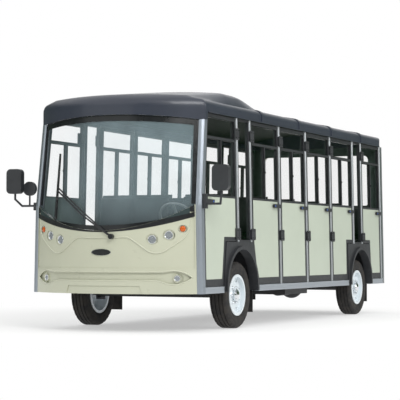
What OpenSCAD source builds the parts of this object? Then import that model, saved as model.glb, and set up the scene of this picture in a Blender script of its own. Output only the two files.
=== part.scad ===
// Electric sightseeing bus with a bowed nose, round alloy posts and six hinged doors on each side.
// Frame: +X forward, +Y to the bus's left, +Z up, ground at z = 0, millimetres.
// Lengthwise places are stations, measured rearward from the front corner of the side wall.

/* [Body] */
// Width of the body at the sill
body_w = 1900; // [1800:10:2000]
// Inward lean of each side wall, degrees
side_lean = 1.15; // [0:0.05:2]
// Backward rake of the windshield and upper corner posts, degrees
front_rake = 7.4; // [6:0.1:8]
// How far the middle of the nose stands ahead of its corners
nose_bow = 360; // [330:5:390]
// Height of the body's bottom edge
sill_z = 378; // [360:1:400]
// Height of the sill extrusion
sill_h = 64; // [50:1:80]
// Height of the window line
belt_z = 1340; // [1300:5:1380]
// Height of the top of the door openings
door_top_z = 2170; // [2120:5:2200]
// Rise of the roof's crown over its lower edge
roof_rise = 212; // [190:2:230]
// Rise of the front cowl over the roof
cowl_rise = 58; // [40:2:80]
// Thickness of moulded panels
skin_t = 22; // [16:1:30]

/* [Bays] */
// Station of the post behind the driver's door
driver_bay = 920; // [890:5:950]
// Width of the fixed bay over the front wheel
front_fixed_bay = 355; // [330:5:380]
// Pitch of the four passenger doors
door_pitch = 845; // [820:5:870]
// Width of the fixed bay over the rear wheel
rear_fixed_bay = 330; // [310:5:350]
// Width of the last door's bay
rear_bay = 790; // [770:5:820]
// Diameter of the round side posts
post_d = 38; // [32:1:42]

/* [Doors] */
// Thickness of a door
door_t = 38; // [30:1:44]
// Width of the door's frame around panel and glass
door_rim = 42; // [36:1:50]
// Gap between a door and the posts, sill and arches
door_gap = 6; // [5:0.5:8]
// Depth of the painted panel below the frame
panel_recess = 4; // [2:0.5:6]
// Thickness of the glass
glass_t = 6; // [4:0.5:8]

/* [Running gear] */
// Station of the front axle
front_axle_s = 985; // [975:1:995]
// Station of the rear axle
rear_axle_s = 4895; // [4885:1:4905]
// Outer diameter of a tyre
tyre_d = 688; // [670:2:700]
// Width of a tyre
tyre_w = 190; // [180:2:200]
// Distance from the body's side in to the middle of a tyre
tyre_in = 145; // [140:1:150]
// Seat diameter of the rim
rim_d = 390; // [380:1:400]
// Distance from the middle of a tyre in to its kingpin
kingpin_in = 115; // [110:1:120]

/* [Hidden] */
$fn = 64;

// Post stations, front to rear
post_b = driver_bay;
post_c = post_b + front_fixed_bay;
post_g = post_c + 4 * door_pitch;
post_h = post_g + rear_fixed_bay;
post_i = post_h + rear_bay;
function post_s(i) = post_c + i * door_pitch;
side_post_stations = [post_b, post_c, post_s(1), post_s(2), post_s(3), post_g, post_h, post_i];

// The origin is midway between the wiper's pivot cap and the back of the tail lamps
rear_skin_t = 45;
rear_wall_s = post_i + 30;
rear_end_s = rear_wall_s + rear_skin_t;
tail_lamp_out = 8;
wiper_out = 34;
front_x = (rear_end_s + tail_lamp_out - nose_bow - wiper_out) / 2;
function x_at(s) = front_x - s;

half_w = body_w / 2;
fit_gap = 0.3;
tyre_r = tyre_d / 2;
wheel_y = half_w - tyre_in;
kingpin_y = wheel_y - kingpin_in;

// The nose is an upright cylinder through both corners; the windshield is the same cylinder leaning back
nose_r = arc_r(half_w, nose_bow);
nose_axis_x = front_x + nose_bow - nose_r;
rake_z = 1000;
knee_z = 1250;
corner_depth = 54;
seam = 0.4;
function wall_half(z) = half_w - (z - sill_z) * tan(side_lean);
function nose_half(z) = wall_half(z) - corner_depth - seam;

// Side wall levels
door_z0 = sill_z + sill_h + door_gap;
post_y = -post_d / 2 - 1;
door_face_y = -12;
hinge_inset = post_d / 2 + door_gap;
arch_top_z = 895;
arch_bottom_z = 385;
roof_base_z = door_top_z + door_gap;
roof_crown_z = roof_base_z + roof_rise;
roof_side_r = 75;

// Wheel arch table: axle station, top front, top rear, bottom front, bottom rear, flare station
function arch_row(s, reach) = [s, for (r = reach) s + r];
ARCHES = [
    arch_row(front_axle_s, [-388, 320, -476, 437, -8]),
    arch_row(rear_axle_s, [-485, 371, -488, 412, -20])
];
flare_r = 425;
flare_w = 34;
flare_out = 20;
flare_z = 424;
liner_t = 5;
liner_y = wheel_y - 335;
house_half = 480;
house_h = 310;

// Door table: front post, 1 if the front edge follows the raked corner post, rear post,
// notched end (-1 front, 0 none, 1 rear), arch row, hinged end (-1 front, 1 rear)
corner_rear_s = 40;
DOORS = [
    [corner_rear_s - post_d / 2, 1, post_b, 1, 0, 1],
    [post_s(0), 0, post_s(1), -1, 0, -1],
    [post_s(1), 0, post_s(2), 0, 0, -1],
    [post_s(2), 0, post_s(3), 0, 0, -1],
    [post_s(3), 0, post_g, 1, 1, -1],
    [post_h, 0, post_i, -1, 1, -1]
];
window_margin = 34;
transom_z = 1935;
bar_w = 24;
HINGE_Z = [975, 2010];
hinge_h = 104;
barrel_r = 8;
pin_gap = 0.06;

// Lays children drawn in X and Z against one side wall; Y is the distance out of the wall's plane.
module on_side(side) {
    mirror([0, side < 0 ? 1 : 0, 0])
        translate([0, half_w, sill_z])
            rotate([side_lean, 0, 0])
                translate([0, 0, -sill_z])
                    children();
}

// A plate from a drawing in X and Z, its outer face at y, its thickness inward.
module plate(y, t) {
    translate([0, y, 0])
        rotate([90, 0, 0])
            linear_extrude(t)
                children();
}

// A bar along X from a drawing in Y and Z.
module along_x(x0, x1) {
    translate([x0, 0, 0])
        rotate([90, 0, 90])
            linear_extrude(x1 - x0)
                children();
}

// A rectangle with round corners, from its low to its high corner.
module round_rect(low, high, r) {
    translate([low[0] + r, low[1]])
        square([high[0] - low[0] - 2 * r, high[1] - low[1]]);
    translate([low[0], low[1] + r])
        square([high[0] - low[0], high[1] - low[1] - 2 * r]);
    for (x = [low[0] + r, high[0] - r], y = [low[1] + r, high[1] - r])
        translate([x, y])
            circle(r, $fn = 32);
}

// Arch edges at height z: end is -1 for the front edge, 1 for the rear edge
function arch_edge(a, end, z) =
    let (top = end < 0 ? a[1] : a[2], foot = end < 0 ? a[3] : a[4])
    top + (foot - top) * (arch_top_z - z) / (arch_top_z - arch_bottom_z);

// A door's outline as points in X and Z, drawn in by inset, between two levels
free_extra = 2;
function door_front(d, z) =
    d[0] + hinge_inset + (d[5] > 0 ? free_extra : 0) + d[1] * max(0, z - knee_z) * tan(front_rake);
function door_rear(d) = d[2] - hinge_inset - (d[5] < 0 ? free_extra : 0);
function door_outline(d, inset, z0, z1) =
    let (
        a = ARCHES[d[4]],
        shelf = arch_top_z + door_gap + inset,
        f0 = door_front(d, z0) + inset,
        f1 = door_front(d, z1) + inset,
        r = door_rear(d) - inset,
        notch_gap = door_gap + free_extra + inset,
        knee = d[1] > 0 && z1 > knee_z ? [[x_at(f0), knee_z]] : []
    )
    d[3] == 0 ? [[x_at(f0), z0], [x_at(r), z0], [x_at(r), z1], [x_at(f1), z1]] :
    d[3] > 0 ? concat([
        [x_at(f0), z0], [x_at(arch_edge(a, -1, z0) - notch_gap), z0],
        [x_at(arch_edge(a, -1, shelf) - notch_gap), shelf], [x_at(r), shelf], [x_at(r), z1], [x_at(f1), z1]
    ], knee) : [
        [x_at(f0), shelf], [x_at(arch_edge(a, 1, shelf) + notch_gap), shelf],
        [x_at(arch_edge(a, 1, z0) + notch_gap), z0], [x_at(r), z0], [x_at(r), z1], [x_at(f1), z1]
    ];

// The three window openings of a door, drawn in by inset: over the transom, and two sliding halves below
function pane(r, f, z0, z1) = [[x_at(r), z0], [x_at(f[0]), z0], [x_at(f[1]), z1], [x_at(r), z1]];
function window_panes(d, inset) =
    let (
        r = door_rear(d) - window_margin,
        mid = (r + door_front(d, transom_z) + window_margin) / 2,
        half_bar = bar_w / 2 + inset,
        low = belt_z + 20 + inset,
        high = transom_z - half_bar,
        top_low = transom_z + half_bar,
        top_high = door_top_z - window_margin - inset,
        lead = window_margin + inset
    )
    [
        pane(r - inset, [door_front(d, top_low) + lead, door_front(d, top_high) + lead], top_low, top_high),
        pane(r - inset, [mid + half_bar, mid + half_bar], low, high),
        pane(mid - half_bar, [door_front(d, low) + lead, door_front(d, high) + lead], low, high)
    ];

function hinge_x(d) = d[5] < 0 ? x_at(d[0] + hinge_inset - 4) : x_at(d[2] - hinge_inset + 4);

// One door leaf: frame, recessed panel, window bars, handle and the moving half of both hinges.
module door(side, d) {
    toward = d[5] < 0 ? -1 : 1;
    free_x = d[5] < 0 ? x_at(door_rear(d)) : x_at(door_front(d, belt_z));
    color([0.76, 0.78, 0.68])
    on_side(side) {
        difference() {
            plate(door_face_y, door_t)
                polygon(door_outline(d, 0, door_z0, door_top_z));
            plate(door_face_y + 1, panel_recess + 1)
                polygon(door_outline(d, door_rim, door_z0 + door_rim + 28, belt_z));
            for (w = window_panes(d, 0))
                plate(door_face_y + 1, door_t + 2)
                    polygon(w);
        }
        handle(free_x, toward);
        for (z = HINGE_Z)
            hinge_leaf(hinge_x(d), z, toward);
    }
}

// A pull handle on the door's free edge.
handle_l = 190;
handle_h = 40;
handle_z = 1292;
module handle(x, toward_edge) {
    inward = -toward_edge;
    for (k = [24, handle_l - 24])
        translate([x + inward * (k + 12), door_face_y - panel_recess - 2, handle_z])
            rotate([-90, 0, 0])
                cylinder(r = 12, h = panel_recess + 14);
    plate(door_face_y + 30, 20)
        round_rect(
            [min(x + inward * 12, x + inward * (12 + handle_l)), handle_z - handle_h / 2],
            [max(x + inward * 12, x + inward * (12 + handle_l)), handle_z + handle_h / 2], 9
        );
}

// The moving half of a hinge: a leaf on the door and the middle barrel.
module hinge_leaf(x, z, toward) {
    middle = hinge_h / 3 - 1;
    difference() {
        union() {
            translate([x, 0, z - middle / 2])
                cylinder(r = barrel_r, h = middle);
            translate([toward < 0 ? x - 52 : x, door_face_y - 1, z - middle / 2])
                cube([52, -door_face_y - 1, middle]);
        }
        translate([x, 0, z - hinge_h])
            cylinder(r = 4 + pin_gap, h = 2 * hinge_h);
    }
}

// The fixed half of a hinge: two outer barrels, the pin and a block on the post.
module hinge_post(x, z, toward) {
    third = hinge_h / 3;
    block_w = hinge_inset + post_d / 2 - 4;
    translate([x, 0, z - hinge_h / 2])
        cylinder(r = 4, h = hinge_h);
    for (low = [z - hinge_h / 2, z + third / 2]) {
        translate([x, 0, low])
            cylinder(r = barrel_r, h = third);
        translate([toward < 0 ? x : x - block_w, post_y, low])
            cube([block_w, -post_y + barrel_r - 2, third]);
    }
}

// The panes of one door.
module door_glass(side, d) {
    color([0.10, 0.15, 0.13, 0.6])
    on_side(side)
        for (w = window_panes(d, fit_gap))
            plate(door_face_y - pane_depth, glass_t)
                polygon(w);
}

// The space between two depths behind the nose's skin, leaning back by rake degrees about rake_z.
module nose_space(depth0, depth1, rake) {
    intersection() {
        translate([nose_axis_x - nose_r * (1 / cos(rake) - 1), 0, rake_z])
            rotate([0, -rake, 0])
                translate([0, 0, -1200])
                    difference() {
                        cylinder(r = nose_r - depth0, h = 3400, $fn = 256);
                        translate([0, 0, -1])
                            cylinder(r = nose_r - depth1, h = 3402, $fn = 256);
                    }
        translate([x_at(800), -half_w, 0])
            cube([2000, body_w, 3000]);
    }
}

// A block ahead of the cabin from a drawing in Y and Z.
module nose_cut() {
    along_x(x_at(420), x_at(-nose_bow - 60))
        children();
}

// The nose between the corner posts in Y and Z, drawn in by gap.
module nose_outline(gap, z0, z1) {
    low = nose_half(z0) - gap;
    high = nose_half(z1) - gap;
    polygon([[-low, z0], [low, z0], [high, z1], [-high, z1]]);
}

// Windshield outline in Y and Z: a sagging lower edge, sides beside the posts, an arched upper edge.
shield_foot_z = 1255;
shield_sag = 255;
shield_head_z = 2100;
shield_head_rise = 50;
shield_foot_half = nose_half(shield_foot_z);
shield_head_half = nose_half(shield_head_z);
function arc_r(half, rise) = (half * half + rise * rise) / (2 * rise);
shield_sag_r = arc_r(shield_foot_half, shield_sag);
shield_head_r = arc_r(shield_head_half, shield_head_rise);
module shield_outline(gap) {
    intersection() {
        nose_outline(gap, 900, 2300);
        translate([0, shield_foot_z - shield_sag + shield_sag_r])
            circle(shield_sag_r - gap, $fn = 256);
        translate([0, shield_head_z + shield_head_rise - shield_head_r])
            circle(shield_head_r - gap, $fn = 256);
    }
}

// Widthwise places on the nose follow the body's width
drawn_half = 950;
function spread(y) = y * half_w / drawn_half;

// Lamp table: distance from the centreline, height, radius
HEAD_LAMPS = [[spread(512), 911, 46], [spread(662), 953, 46]];
AMBER_LAMP = [spread(780), 1016, 30];
FOG_LAMP = [spread(735), 531, 34];
NOSE_LAMPS = concat(HEAD_LAMPS, [AMBER_LAMP, FOG_LAMP]);
lamp_depth = 34;
lamp_front = 3;
fog_front = 12;

// Raised mask round the head lamps, in Y and Z: three tangent sweeps on each side.
module mask_outline() {
    for (m = [0, 1])
        mirror([m, 0])
            polygon([
                [0, 928], [spread(250), 934], [spread(300), 922], [spread(372), 874],
                [spread(470), 802], [spread(520), 780], [spread(575), 780], [spread(625), 800],
                [spread(760), 900], [spread(815), 965], [spread(846), 1060], [spread(848), 1300], [0, 1300]
            ]);
}

// The long lower groove with an eye round each fog lamp, in Y and Z.
groove_half = spread(600);
groove_z0 = 506;
groove_z1 = 594;
eye_y = spread(700);
eye_arc_r = 226;
eye_low_mid_z = 381;
eye_high_mid_z = 696;
module groove_outline() {
    translate([-groove_half, groove_z0])
        square([2 * groove_half, groove_z1 - groove_z0]);
    for (m = [0, 1])
        mirror([m, 0])
            intersection() {
                translate([eye_y, eye_low_mid_z])
                    circle(r = eye_arc_r, $fn = 96);
                translate([eye_y, eye_high_mid_z])
                    circle(r = eye_arc_r, $fn = 96);
            }
}

// The plate recess in the nose's lower edge, in Y and Z.
recess_foot_half = spread(424);
recess_head_half = spread(395);
recess_top_z = 458;
module recess_outline() {
    polygon([
        [-recess_foot_half, sill_z - 8], [recess_foot_half, sill_z - 8],
        [recess_head_half, recess_top_z], [-recess_head_half, recess_top_z]
    ]);
}

// Depths of the nose's forms below its skin
nose_t = skin_t + 36;
nose_top_z = 1290;
face_depth = 7;
face_edge = 8;
face_foot_z = 630;
groove_depth = 22;
recess_depth = 9;
lamp_ring = 8;

// The round bore or body of one lamp, along X.
module lamp_round(l, r) {
    translate([0, l[0], l[1]])
        rotate([0, 90, 0])
            cylinder(r = r, h = 4000);
}

module front_fascia() {
    color([0.82, 0.82, 0.70])
    difference() {
        intersection() {
            nose_space(0, nose_t, 0);
            nose_cut()
                difference() {
                    nose_outline(0, sill_z, nose_top_z);
                    shield_outline(-seam);
                }
        }
        intersection() {
            nose_space(-1, face_depth, 0);
            nose_cut()
                difference() {
                    nose_outline(face_edge, face_foot_z, nose_top_z + 10);
                    mask_outline();
                }
        }
        intersection() {
            nose_space(-1, groove_depth, 0);
            nose_cut()
                groove_outline();
        }
        intersection() {
            nose_space(-1, recess_depth, 0);
            nose_cut()
                recess_outline();
        }
        for (m = [0, 1], l = NOSE_LAMPS)
            mirror([0, m, 0])
                intersection() {
                    nose_space(-1, lamp_depth, 0);
                    lamp_round(l, l[2] + lamp_ring);
                }
    }
}

shield_inset = 6;
shield_t = 8;
module windshield() {
    color([0.35, 0.42, 0.42, 0.4])
    intersection() {
        nose_space(shield_inset, shield_inset + shield_t, front_rake);
        nose_cut()
            shield_outline(0);
    }
}

// Round lamps set into the nose, and two stacks of round lamps on the rear panel.
tail_lamp_y = half_w - 160;
TAIL_LAMPS = [for (z = [820, 935, 1050]) [tail_lamp_y, z, 48]];
module lamps() {
    color([0.85, 0.87, 0.9])
    for (m = [0, 1])
        mirror([0, m, 0]) {
            for (l = NOSE_LAMPS)
                intersection() {
                    nose_space(l == FOG_LAMP ? fog_front : lamp_front, lamp_depth - fit_gap, 0);
                    lamp_round(l, l[2]);
                }
            for (l = TAIL_LAMPS)
                translate([x_at(rear_end_s) - tail_lamp_out, l[0], l[1]])
                    rotate([0, 90, 0])
                        cylinder(r = l[2], h = tail_lamp_out);
        }
}

// Wide rounded corner posts: upright to the knee, then raked with the windshield.
corner_front = 44;
corner_r = 76;
knee_run = (shield_head_z - knee_z) * tan(front_rake);

// What is cut from a corner post's outer front edge to round it.
module corner_cut() {
    difference() {
        translate([corner_front - 26, -corner_depth + 10])
            square([60, corner_depth]);
        translate([corner_front - corner_r + 2, -corner_depth])
            circle(r = corner_r);
    }
}
module corner_posts() {
    front = x_at(-corner_front);
    rear = x_at(corner_rear_s);
    color([0.78, 0.80, 0.84])
    for (side = [-1, 1])
        on_side(side)
            difference() {
                plate(0, corner_depth)
                    polygon([
                        [rear, sill_z], [front, sill_z], [front, knee_z], [front - knee_run, shield_head_z],
                        [rear - knee_run, shield_head_z], [rear, knee_z]
                    ]);
                translate([x_at(0), 0, sill_z - 50])
                    linear_extrude(knee_z - sill_z + 60)
                        corner_cut();
                translate([x_at(0), 0, knee_z])
                    rotate([0, -front_rake, 0])
                        linear_extrude(1100)
                            corner_cut();
            }
}

// Round posts between the bays, the rear corner posts and the fixed halves of the hinges.
module side_posts() {
    color([0.66, 0.69, 0.72])
    for (side = [-1, 1])
        on_side(side) {
            for (i = [0 : len(side_post_stations) - 1]) {
                s = side_post_stations[i];
                over_arch = s == post_b || s == post_c || s == post_g || s == post_h;
                foot = over_arch ? arch_top_z + fit_gap : sill_z + sill_h + fit_gap;
                translate([x_at(s), post_y, foot])
                    difference() {
                        cylinder(d = post_d, h = roof_base_z - foot - fit_gap);
                        translate([0, 0, -1])
                            cylinder(d = post_d - 8, h = roof_base_z - foot + 2);
                    }
            }
            for (d = DOORS, z = HINGE_Z)
                hinge_post(hinge_x(d), z, d[5] < 0 ? -1 : 1);
        }
}

// Ribbed alloy sills between the arches, each with a web up to the floor.
web_y = half_w - 80;
sill_t = 60;
sill_gap = 2;
groove_h = 5;
module side_sills() {
    stretches = [
        [corner_rear_s, ARCHES[0][3] - sill_gap],
        [ARCHES[0][4] + sill_gap, ARCHES[1][3] - sill_gap],
        [ARCHES[1][4] + sill_gap, post_i + 20]
    ];
    color([0.72, 0.74, 0.77])
    for (side = [-1, 1], r = stretches) {
        on_side(side)
            difference() {
                translate([x_at(r[1]), -sill_t, sill_z])
                    cube([r[1] - r[0], sill_t, sill_h]);
                for (z = [sill_z + 16, sill_z + 34])
                    translate([x_at(r[1]) - 1, -3, z])
                        cube([r[1] - r[0] + 2, 4, groove_h]);
            }
        mirror([0, side < 0 ? 1 : 0, 0])
            translate([x_at(r[1]), web_y, sill_z + 2])
                cube([r[1] - r[0], half_w - sill_t + 1 - web_y, floor_z - sill_z - 2]);
    }
}

// Black arch panels with a flare lip and collar, each in one piece with its wheel house.
house_out_y = half_w - 80;
house_in = house_half - liner_t;
collar_in = 85;
arch_in = 4;
arch_t = 34;
module wheel_arches() {
    color([0.12, 0.12, 0.13])
    for (side = [-1, 1], a = ARCHES)
        difference() {
            union() {
                on_side(side) {
                    plate(-arch_in, arch_t)
                        polygon([
                            [x_at(a[3]), arch_bottom_z], [x_at(a[4]), arch_bottom_z],
                            [x_at(a[2]), arch_top_z], [x_at(a[1]), arch_top_z]
                        ]);
                    intersection() {
                        translate([x_at(a[5]), flare_out, flare_z])
                            rotate([90, 0, 0])
                                cylinder(r = flare_r, h = flare_out + collar_in);
                        translate([x_at(a[5]) - 600, -100, arch_bottom_z])
                            cube([1200, 200, 600]);
                    }
                }
                mirror([0, side < 0 ? 1 : 0, 0])
                    translate([x_at(a[0]) - house_half, liner_y, floor_z])
                        cube([2 * house_half, house_out_y - liner_y, house_h]);
            }
            on_side(side)
                translate([x_at(a[5]), flare_out + 1, flare_z])
                    rotate([90, 0, 0])
                        cylinder(r = flare_r - flare_w, h = flare_out + 120);
            mirror([0, side < 0 ? 1 : 0, 0])
                translate([x_at(a[0]) - house_in, liner_y + liner_t, floor_z - 1])
                    cube([2 * house_in, house_out_y - liner_y - 2 * liner_t, house_h - liner_t + 1]);
        }
}

// Rubber flaps hung from the floor behind the wheels.
flap_t = 8;
flap_w = 160;
flap_z = 150;
module mud_flaps() {
    color([0.06, 0.06, 0.06])
    for (side = [-1, 1], a = ARCHES)
        translate([x_at(a[0] + house_half + 4 + flap_t), side * (wheel_y - 25) - flap_w / 2, flap_z])
            cube([flap_t, flap_w, floor_z - flap_z]);
}

// A crowned roof section in Y and Z, drawn in by inset: round shoulders under a shallow arch.
roof_half = half_w - tan(side_lean) * (roof_base_z - sill_z) + 8;
roof_fall = 99;
roof_crown_r = arc_r(half_w, roof_fall);
function arch_at(r, top, y) = top - r + sqrt(r * r - y * y);
shoulder_z = arch_at(roof_crown_r, roof_crown_z, roof_half - roof_side_r) - roof_side_r;
module roof_section(inset) {
    intersection() {
        translate([0, roof_crown_z - roof_crown_r])
            circle(r = roof_crown_r - inset, $fn = 256);
        translate([-half_w, roof_base_z])
            square([body_w, 600]);
        union() {
            translate([-roof_half + inset, roof_base_z])
                square([2 * (roof_half - inset), shoulder_z - roof_base_z]);
            translate([-roof_half + roof_side_r, roof_base_z])
                square([2 * (roof_half - roof_side_r), 600]);
            for (y = [-1, 1])
                translate([y * (roof_half - roof_side_r), shoulder_z])
                    circle(r = roof_side_r - inset);
        }
    }
}

// The hollow under the roof, leaving a rail along each edge.
rail_w = 78;
rail_h = 34;
module roof_hollow() {
    difference() {
        roof_section(skin_t);
        for (y = [-1, 1])
            translate([y * (roof_half - rail_w / 2) - rail_w / 2, roof_base_z])
                square([rail_w, rail_h]);
    }
    translate([-roof_half + rail_w, roof_base_z - 5])
        square([2 * (roof_half - rail_w), 60]);
}

// Side view of the roof's round rear end in X and Z.
rear_round = 90;
rear_round_z = roof_crown_z - 26 - rear_round;
module roof_side_view() {
    back = x_at(rear_end_s);
    translate([back + rear_round, roof_base_z - 20])
        square([7000, 600]);
    translate([back, roof_base_z - 20])
        square([rear_round + 10, rear_round_z - roof_base_z + 20]);
    translate([back + rear_round, rear_round_z])
        circle(r = rear_round);
}

// Plan of the roof's rear corners in X and Y, round at both ends of the rear edge.
plan_round = 130;
module roof_plan() {
    back = x_at(rear_end_s);
    translate([back + plan_round, -half_w])
        square([7000, body_w]);
    translate([back, -roof_half + plan_round])
        square([plan_round + 10, 2 * (roof_half - plan_round)]);
    for (y = [-1, 1])
        translate([back + plan_round, y * (roof_half - plan_round)])
            circle(r = plan_round);
}

// Stations of the bands across the roof
ROOF_BANDS = [1600, 2740, 3850, 4980];
band_w = 64;
band_h = 9;
cap_rear_s = 150;
cap_depth_s = 420;
cowl_half = half_w - 105;
cowl_rear_s = 1900;
gutter_out = 10;
gutter_h = 12;
module roof_panel() {
    color([0.13, 0.13, 0.15])
    difference() {
        union() {
            intersection() {
                along_x(x_at(rear_end_s), x_at(cap_depth_s))
                    roof_section(0);
                plate(1500, 3000)
                    roof_side_view();
                translate([0, 0, roof_base_z - 20])
                    linear_extrude(600)
                        roof_plan();
            }
            for (s = ROOF_BANDS)
                along_x(x_at(s + band_w / 2), x_at(s - band_w / 2))
                    roof_section(-band_h);
            for (y = [-1, 1])
                translate([x_at(rear_end_s - plan_round), y * roof_half - gutter_out, roof_base_z])
                    cube([rear_end_s - plan_round - cap_depth_s, 2 * gutter_out, gutter_h]);
        }
        along_x(x_at(rear_end_s - 110), x_at(cap_depth_s) + 1)
            roof_hollow();
        translate([x_at(cowl_rear_s), -cowl_half, roof_base_z - 10])
            cube([cowl_rear_s, 2 * cowl_half, 500]);
    }
}

// A round block under the cap over the windshield: an upright revolve with a round upper edge.
cap_out = 16;
cap_edge_r = 150;
cap_axis_x = nose_axis_x - (2125 - rake_z) * tan(front_rake);
module cap_round(r_out, z0, z1) {
    translate([cap_axis_x, 0, 0])
        rotate_extrude($fn = 256)
            intersection() {
                translate([0, z0])
                    square([r_out, z1 - z0]);
                union() {
                    translate([0, z0])
                        square([r_out, z1 - z0 - 0.9 * cap_edge_r]);
                    translate([0, z0])
                        square([r_out - 0.9 * cap_edge_r, z1 - z0]);
                    translate([r_out - cap_edge_r, z1 - cap_edge_r])
                        circle(r = 1.015 * cap_edge_r);
                }
            }
}

// The cap's section in Y and Z: a tight crown with round shoulders.
cap_fall = 205;
cap_crown_r = arc_r(half_w, cap_fall);
cap_crown_z = roof_crown_z + 32;
cap_shoulder_r = 120;
cap_rise = 0.072;
cap_shoulder_y = roof_half - cap_shoulder_r;
cap_shoulder_z = arch_at(cap_crown_r, cap_crown_z, cap_shoulder_y) - cap_shoulder_r;
module cap_section() {
    low = shield_head_z - 200;
    intersection() {
        translate([0, cap_crown_z - cap_crown_r])
            circle(r = cap_crown_r, $fn = 256);
        union() {
            translate([-roof_half, low])
                square([2 * roof_half, cap_shoulder_z - low]);
            translate([-cap_shoulder_y, low])
                square([2 * cap_shoulder_y, 900]);
            for (y = [-1, 1])
                translate([y * cap_shoulder_y, cap_shoulder_z])
                    circle(r = cap_shoulder_r);
        }
    }
}

// The moulded cap: round in front, its crown opening out rearward, low beside the windshield only.
module cap_body() {
    intersection() {
        cap_round(nose_r + cap_out, shield_head_z - 0.2, roof_crown_z + cowl_rise + 4);
        translate([x_at(-208), 0, cap_crown_z])
            rotate([0, atan(cap_rise), 0])
                translate([0, 0, -cap_crown_z])
                    along_x(-1200, 400)
                        cap_section();
        union() {
            translate([x_at(cap_rear_s), -half_w, 0])
                cube([2000, body_w, 4000]);
            translate([x_at(cap_depth_s), -half_w, roof_base_z])
                cube([2000, body_w, 2000]);
        }
    }
}

// The bulge behind the cap: flush with the roof at its sides, falling to the roof's height at its rear.
cowl_base_z = roof_base_z + 60;
bulge_fall = 173;
bulge_r = arc_r(half_w, bulge_fall);
fall_r = bulge_r - 100;
fall_s = 1280;
fall_slope = atan(cowl_rise / (cowl_rear_s - fall_s));
module crown_over(r, top, half, low) {
    intersection() {
        translate([0, top - r])
            circle(r = r, $fn = 256);
        translate([-half, low])
            square([2 * half, top]);
    }
}
module cowl_body() {
    along_x(x_at(cowl_rear_s), x_at(cap_depth_s - 2))
        crown_over(roof_crown_r, roof_crown_z, cowl_half, cowl_base_z);
    intersection() {
        along_x(x_at(cowl_rear_s - 8), x_at(cap_depth_s - 2))
            crown_over(bulge_r, roof_crown_z + cowl_rise, cowl_half - 3, cowl_base_z + 20);
        translate([x_at(fall_s), 0, roof_crown_z + cowl_rise])
            rotate([0, -fall_slope, 0])
                translate([0, 0, -roof_crown_z - cowl_rise])
                    along_x(-1200, 1600)
                        crown_over(fall_r, roof_crown_z + cowl_rise, cowl_half + 200, cowl_base_z - 400);
    }
}

// The hollow under bulge and cap.
module cowl_hollow() {
    along_x(x_at(cowl_rear_s - 30), x_at(cap_depth_s + 40))
        crown_over(roof_crown_r, roof_crown_z - skin_t, cowl_half - skin_t, cowl_base_z - skin_t);
    intersection() {
        along_x(x_at(cap_depth_s + 41), x_at(-nose_bow))
            crown_over(roof_crown_r, roof_crown_z - 78, cowl_half - skin_t - 2, shield_head_z - 50);
        translate([cap_axis_x, 0, 0])
            cylinder(r = nose_r - 58, h = 4000, $fn = 256);
    }
}

// Front cap and bulge in one piece.
module roof_cowl() {
    color([0.13, 0.13, 0.15])
    difference() {
        union() {
            cap_body();
            cowl_body();
            for (y = [-1, 1])
                translate([x_at(cap_depth_s), y * roof_half - gutter_out, roof_base_z])
                    cube([cap_depth_s - cap_rear_s - 10, 2 * gutter_out, gutter_h]);
        }
        cowl_hollow();
        nose_cut()
            shield_outline(-seam);
    }
}

// Ladder frame with cross members, a tow eye at each end and a jacking pad under each rail.
rail_y = 350;
rail_half_w = 35;
rail_z0 = 430;
floor_z = 520;
floor_t = 25;
tow_bore_r = 18;
jack_s = 3700;
jack_l = 120;
jack_h = 20;
eye_r = 42;
eye_t = 24;
module tow_eye(x, toward) {
    translate([x, 0, rail_z0 + 30])
        difference() {
            union() {
                translate([toward > 0 ? -10 : -50, -eye_r, -eye_t / 2])
                    cube([60, 2 * eye_r, eye_t]);
                translate([toward * 50, 0, -eye_t / 2])
                    cylinder(r = eye_r, h = eye_t);
            }
            translate([toward * 50, 0, -eye_t])
                cylinder(r = tow_bore_r, h = 2 * eye_t);
        }
}
frame_front_s = -130;
frame_rear_s = post_i - 75;
OUTRIGGERS = [300, 1560, 2440, 3320, 4250, 5560];
CROSS_STATIONS = [frame_front_s + 30, 420, 1520, 3330, 4300, frame_rear_s - 30];
module chassis_frame() {
    color([0.08, 0.08, 0.08]) {
        for (y = [-rail_y, rail_y])
            translate([x_at(frame_rear_s), y - rail_half_w, rail_z0])
                cube([frame_rear_s - frame_front_s, 2 * rail_half_w, floor_z - rail_z0]);
        for (s = CROSS_STATIONS)
            translate([x_at(s) - 30, -rail_y, rail_z0 + 10])
                cube([60, 2 * rail_y, 70]);
        for (s = OUTRIGGERS, side = [-1, 1])
            translate([x_at(s) - 25, side > 0 ? rail_y : -web_y, floor_z - 50])
                cube([50, web_y - rail_y, 50]);
        for (y = [-rail_y, rail_y])
            translate([x_at(jack_s) - jack_l / 2, y - rail_half_w, rail_z0 - jack_h])
                cube([jack_l, 2 * rail_half_w, jack_h + 1]);
        tow_eye(x_at(frame_front_s), 1);
        tow_eye(x_at(frame_rear_s), -1);
    }
}

// The flat floor, round in front, open over the wheels.
nose_floor_half = half_w - 130;
floor_front_s = 44;
module floor_deck() {
    color([0.22, 0.22, 0.23])
    difference() {
        union() {
            translate([x_at(rear_wall_s), -half_w + sill_t, floor_z])
                cube([rear_wall_s - floor_front_s, body_w - 2 * sill_t, floor_t]);
            intersection() {
                translate([nose_axis_x, 0, floor_z])
                    cylinder(r = nose_r - nose_t - fit_gap, h = floor_t, $fn = 256);
                translate([x_at(60), -nose_floor_half, floor_z])
                    cube([600, 2 * nose_floor_half, floor_t]);
            }
        }
        for (side = [-1, 1], a = ARCHES)
            translate([x_at(a[0]) - house_half, side > 0 ? liner_y : -half_w, floor_z - 10])
                cube([2 * house_half, half_w - liner_y, 100]);
    }
}

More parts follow.
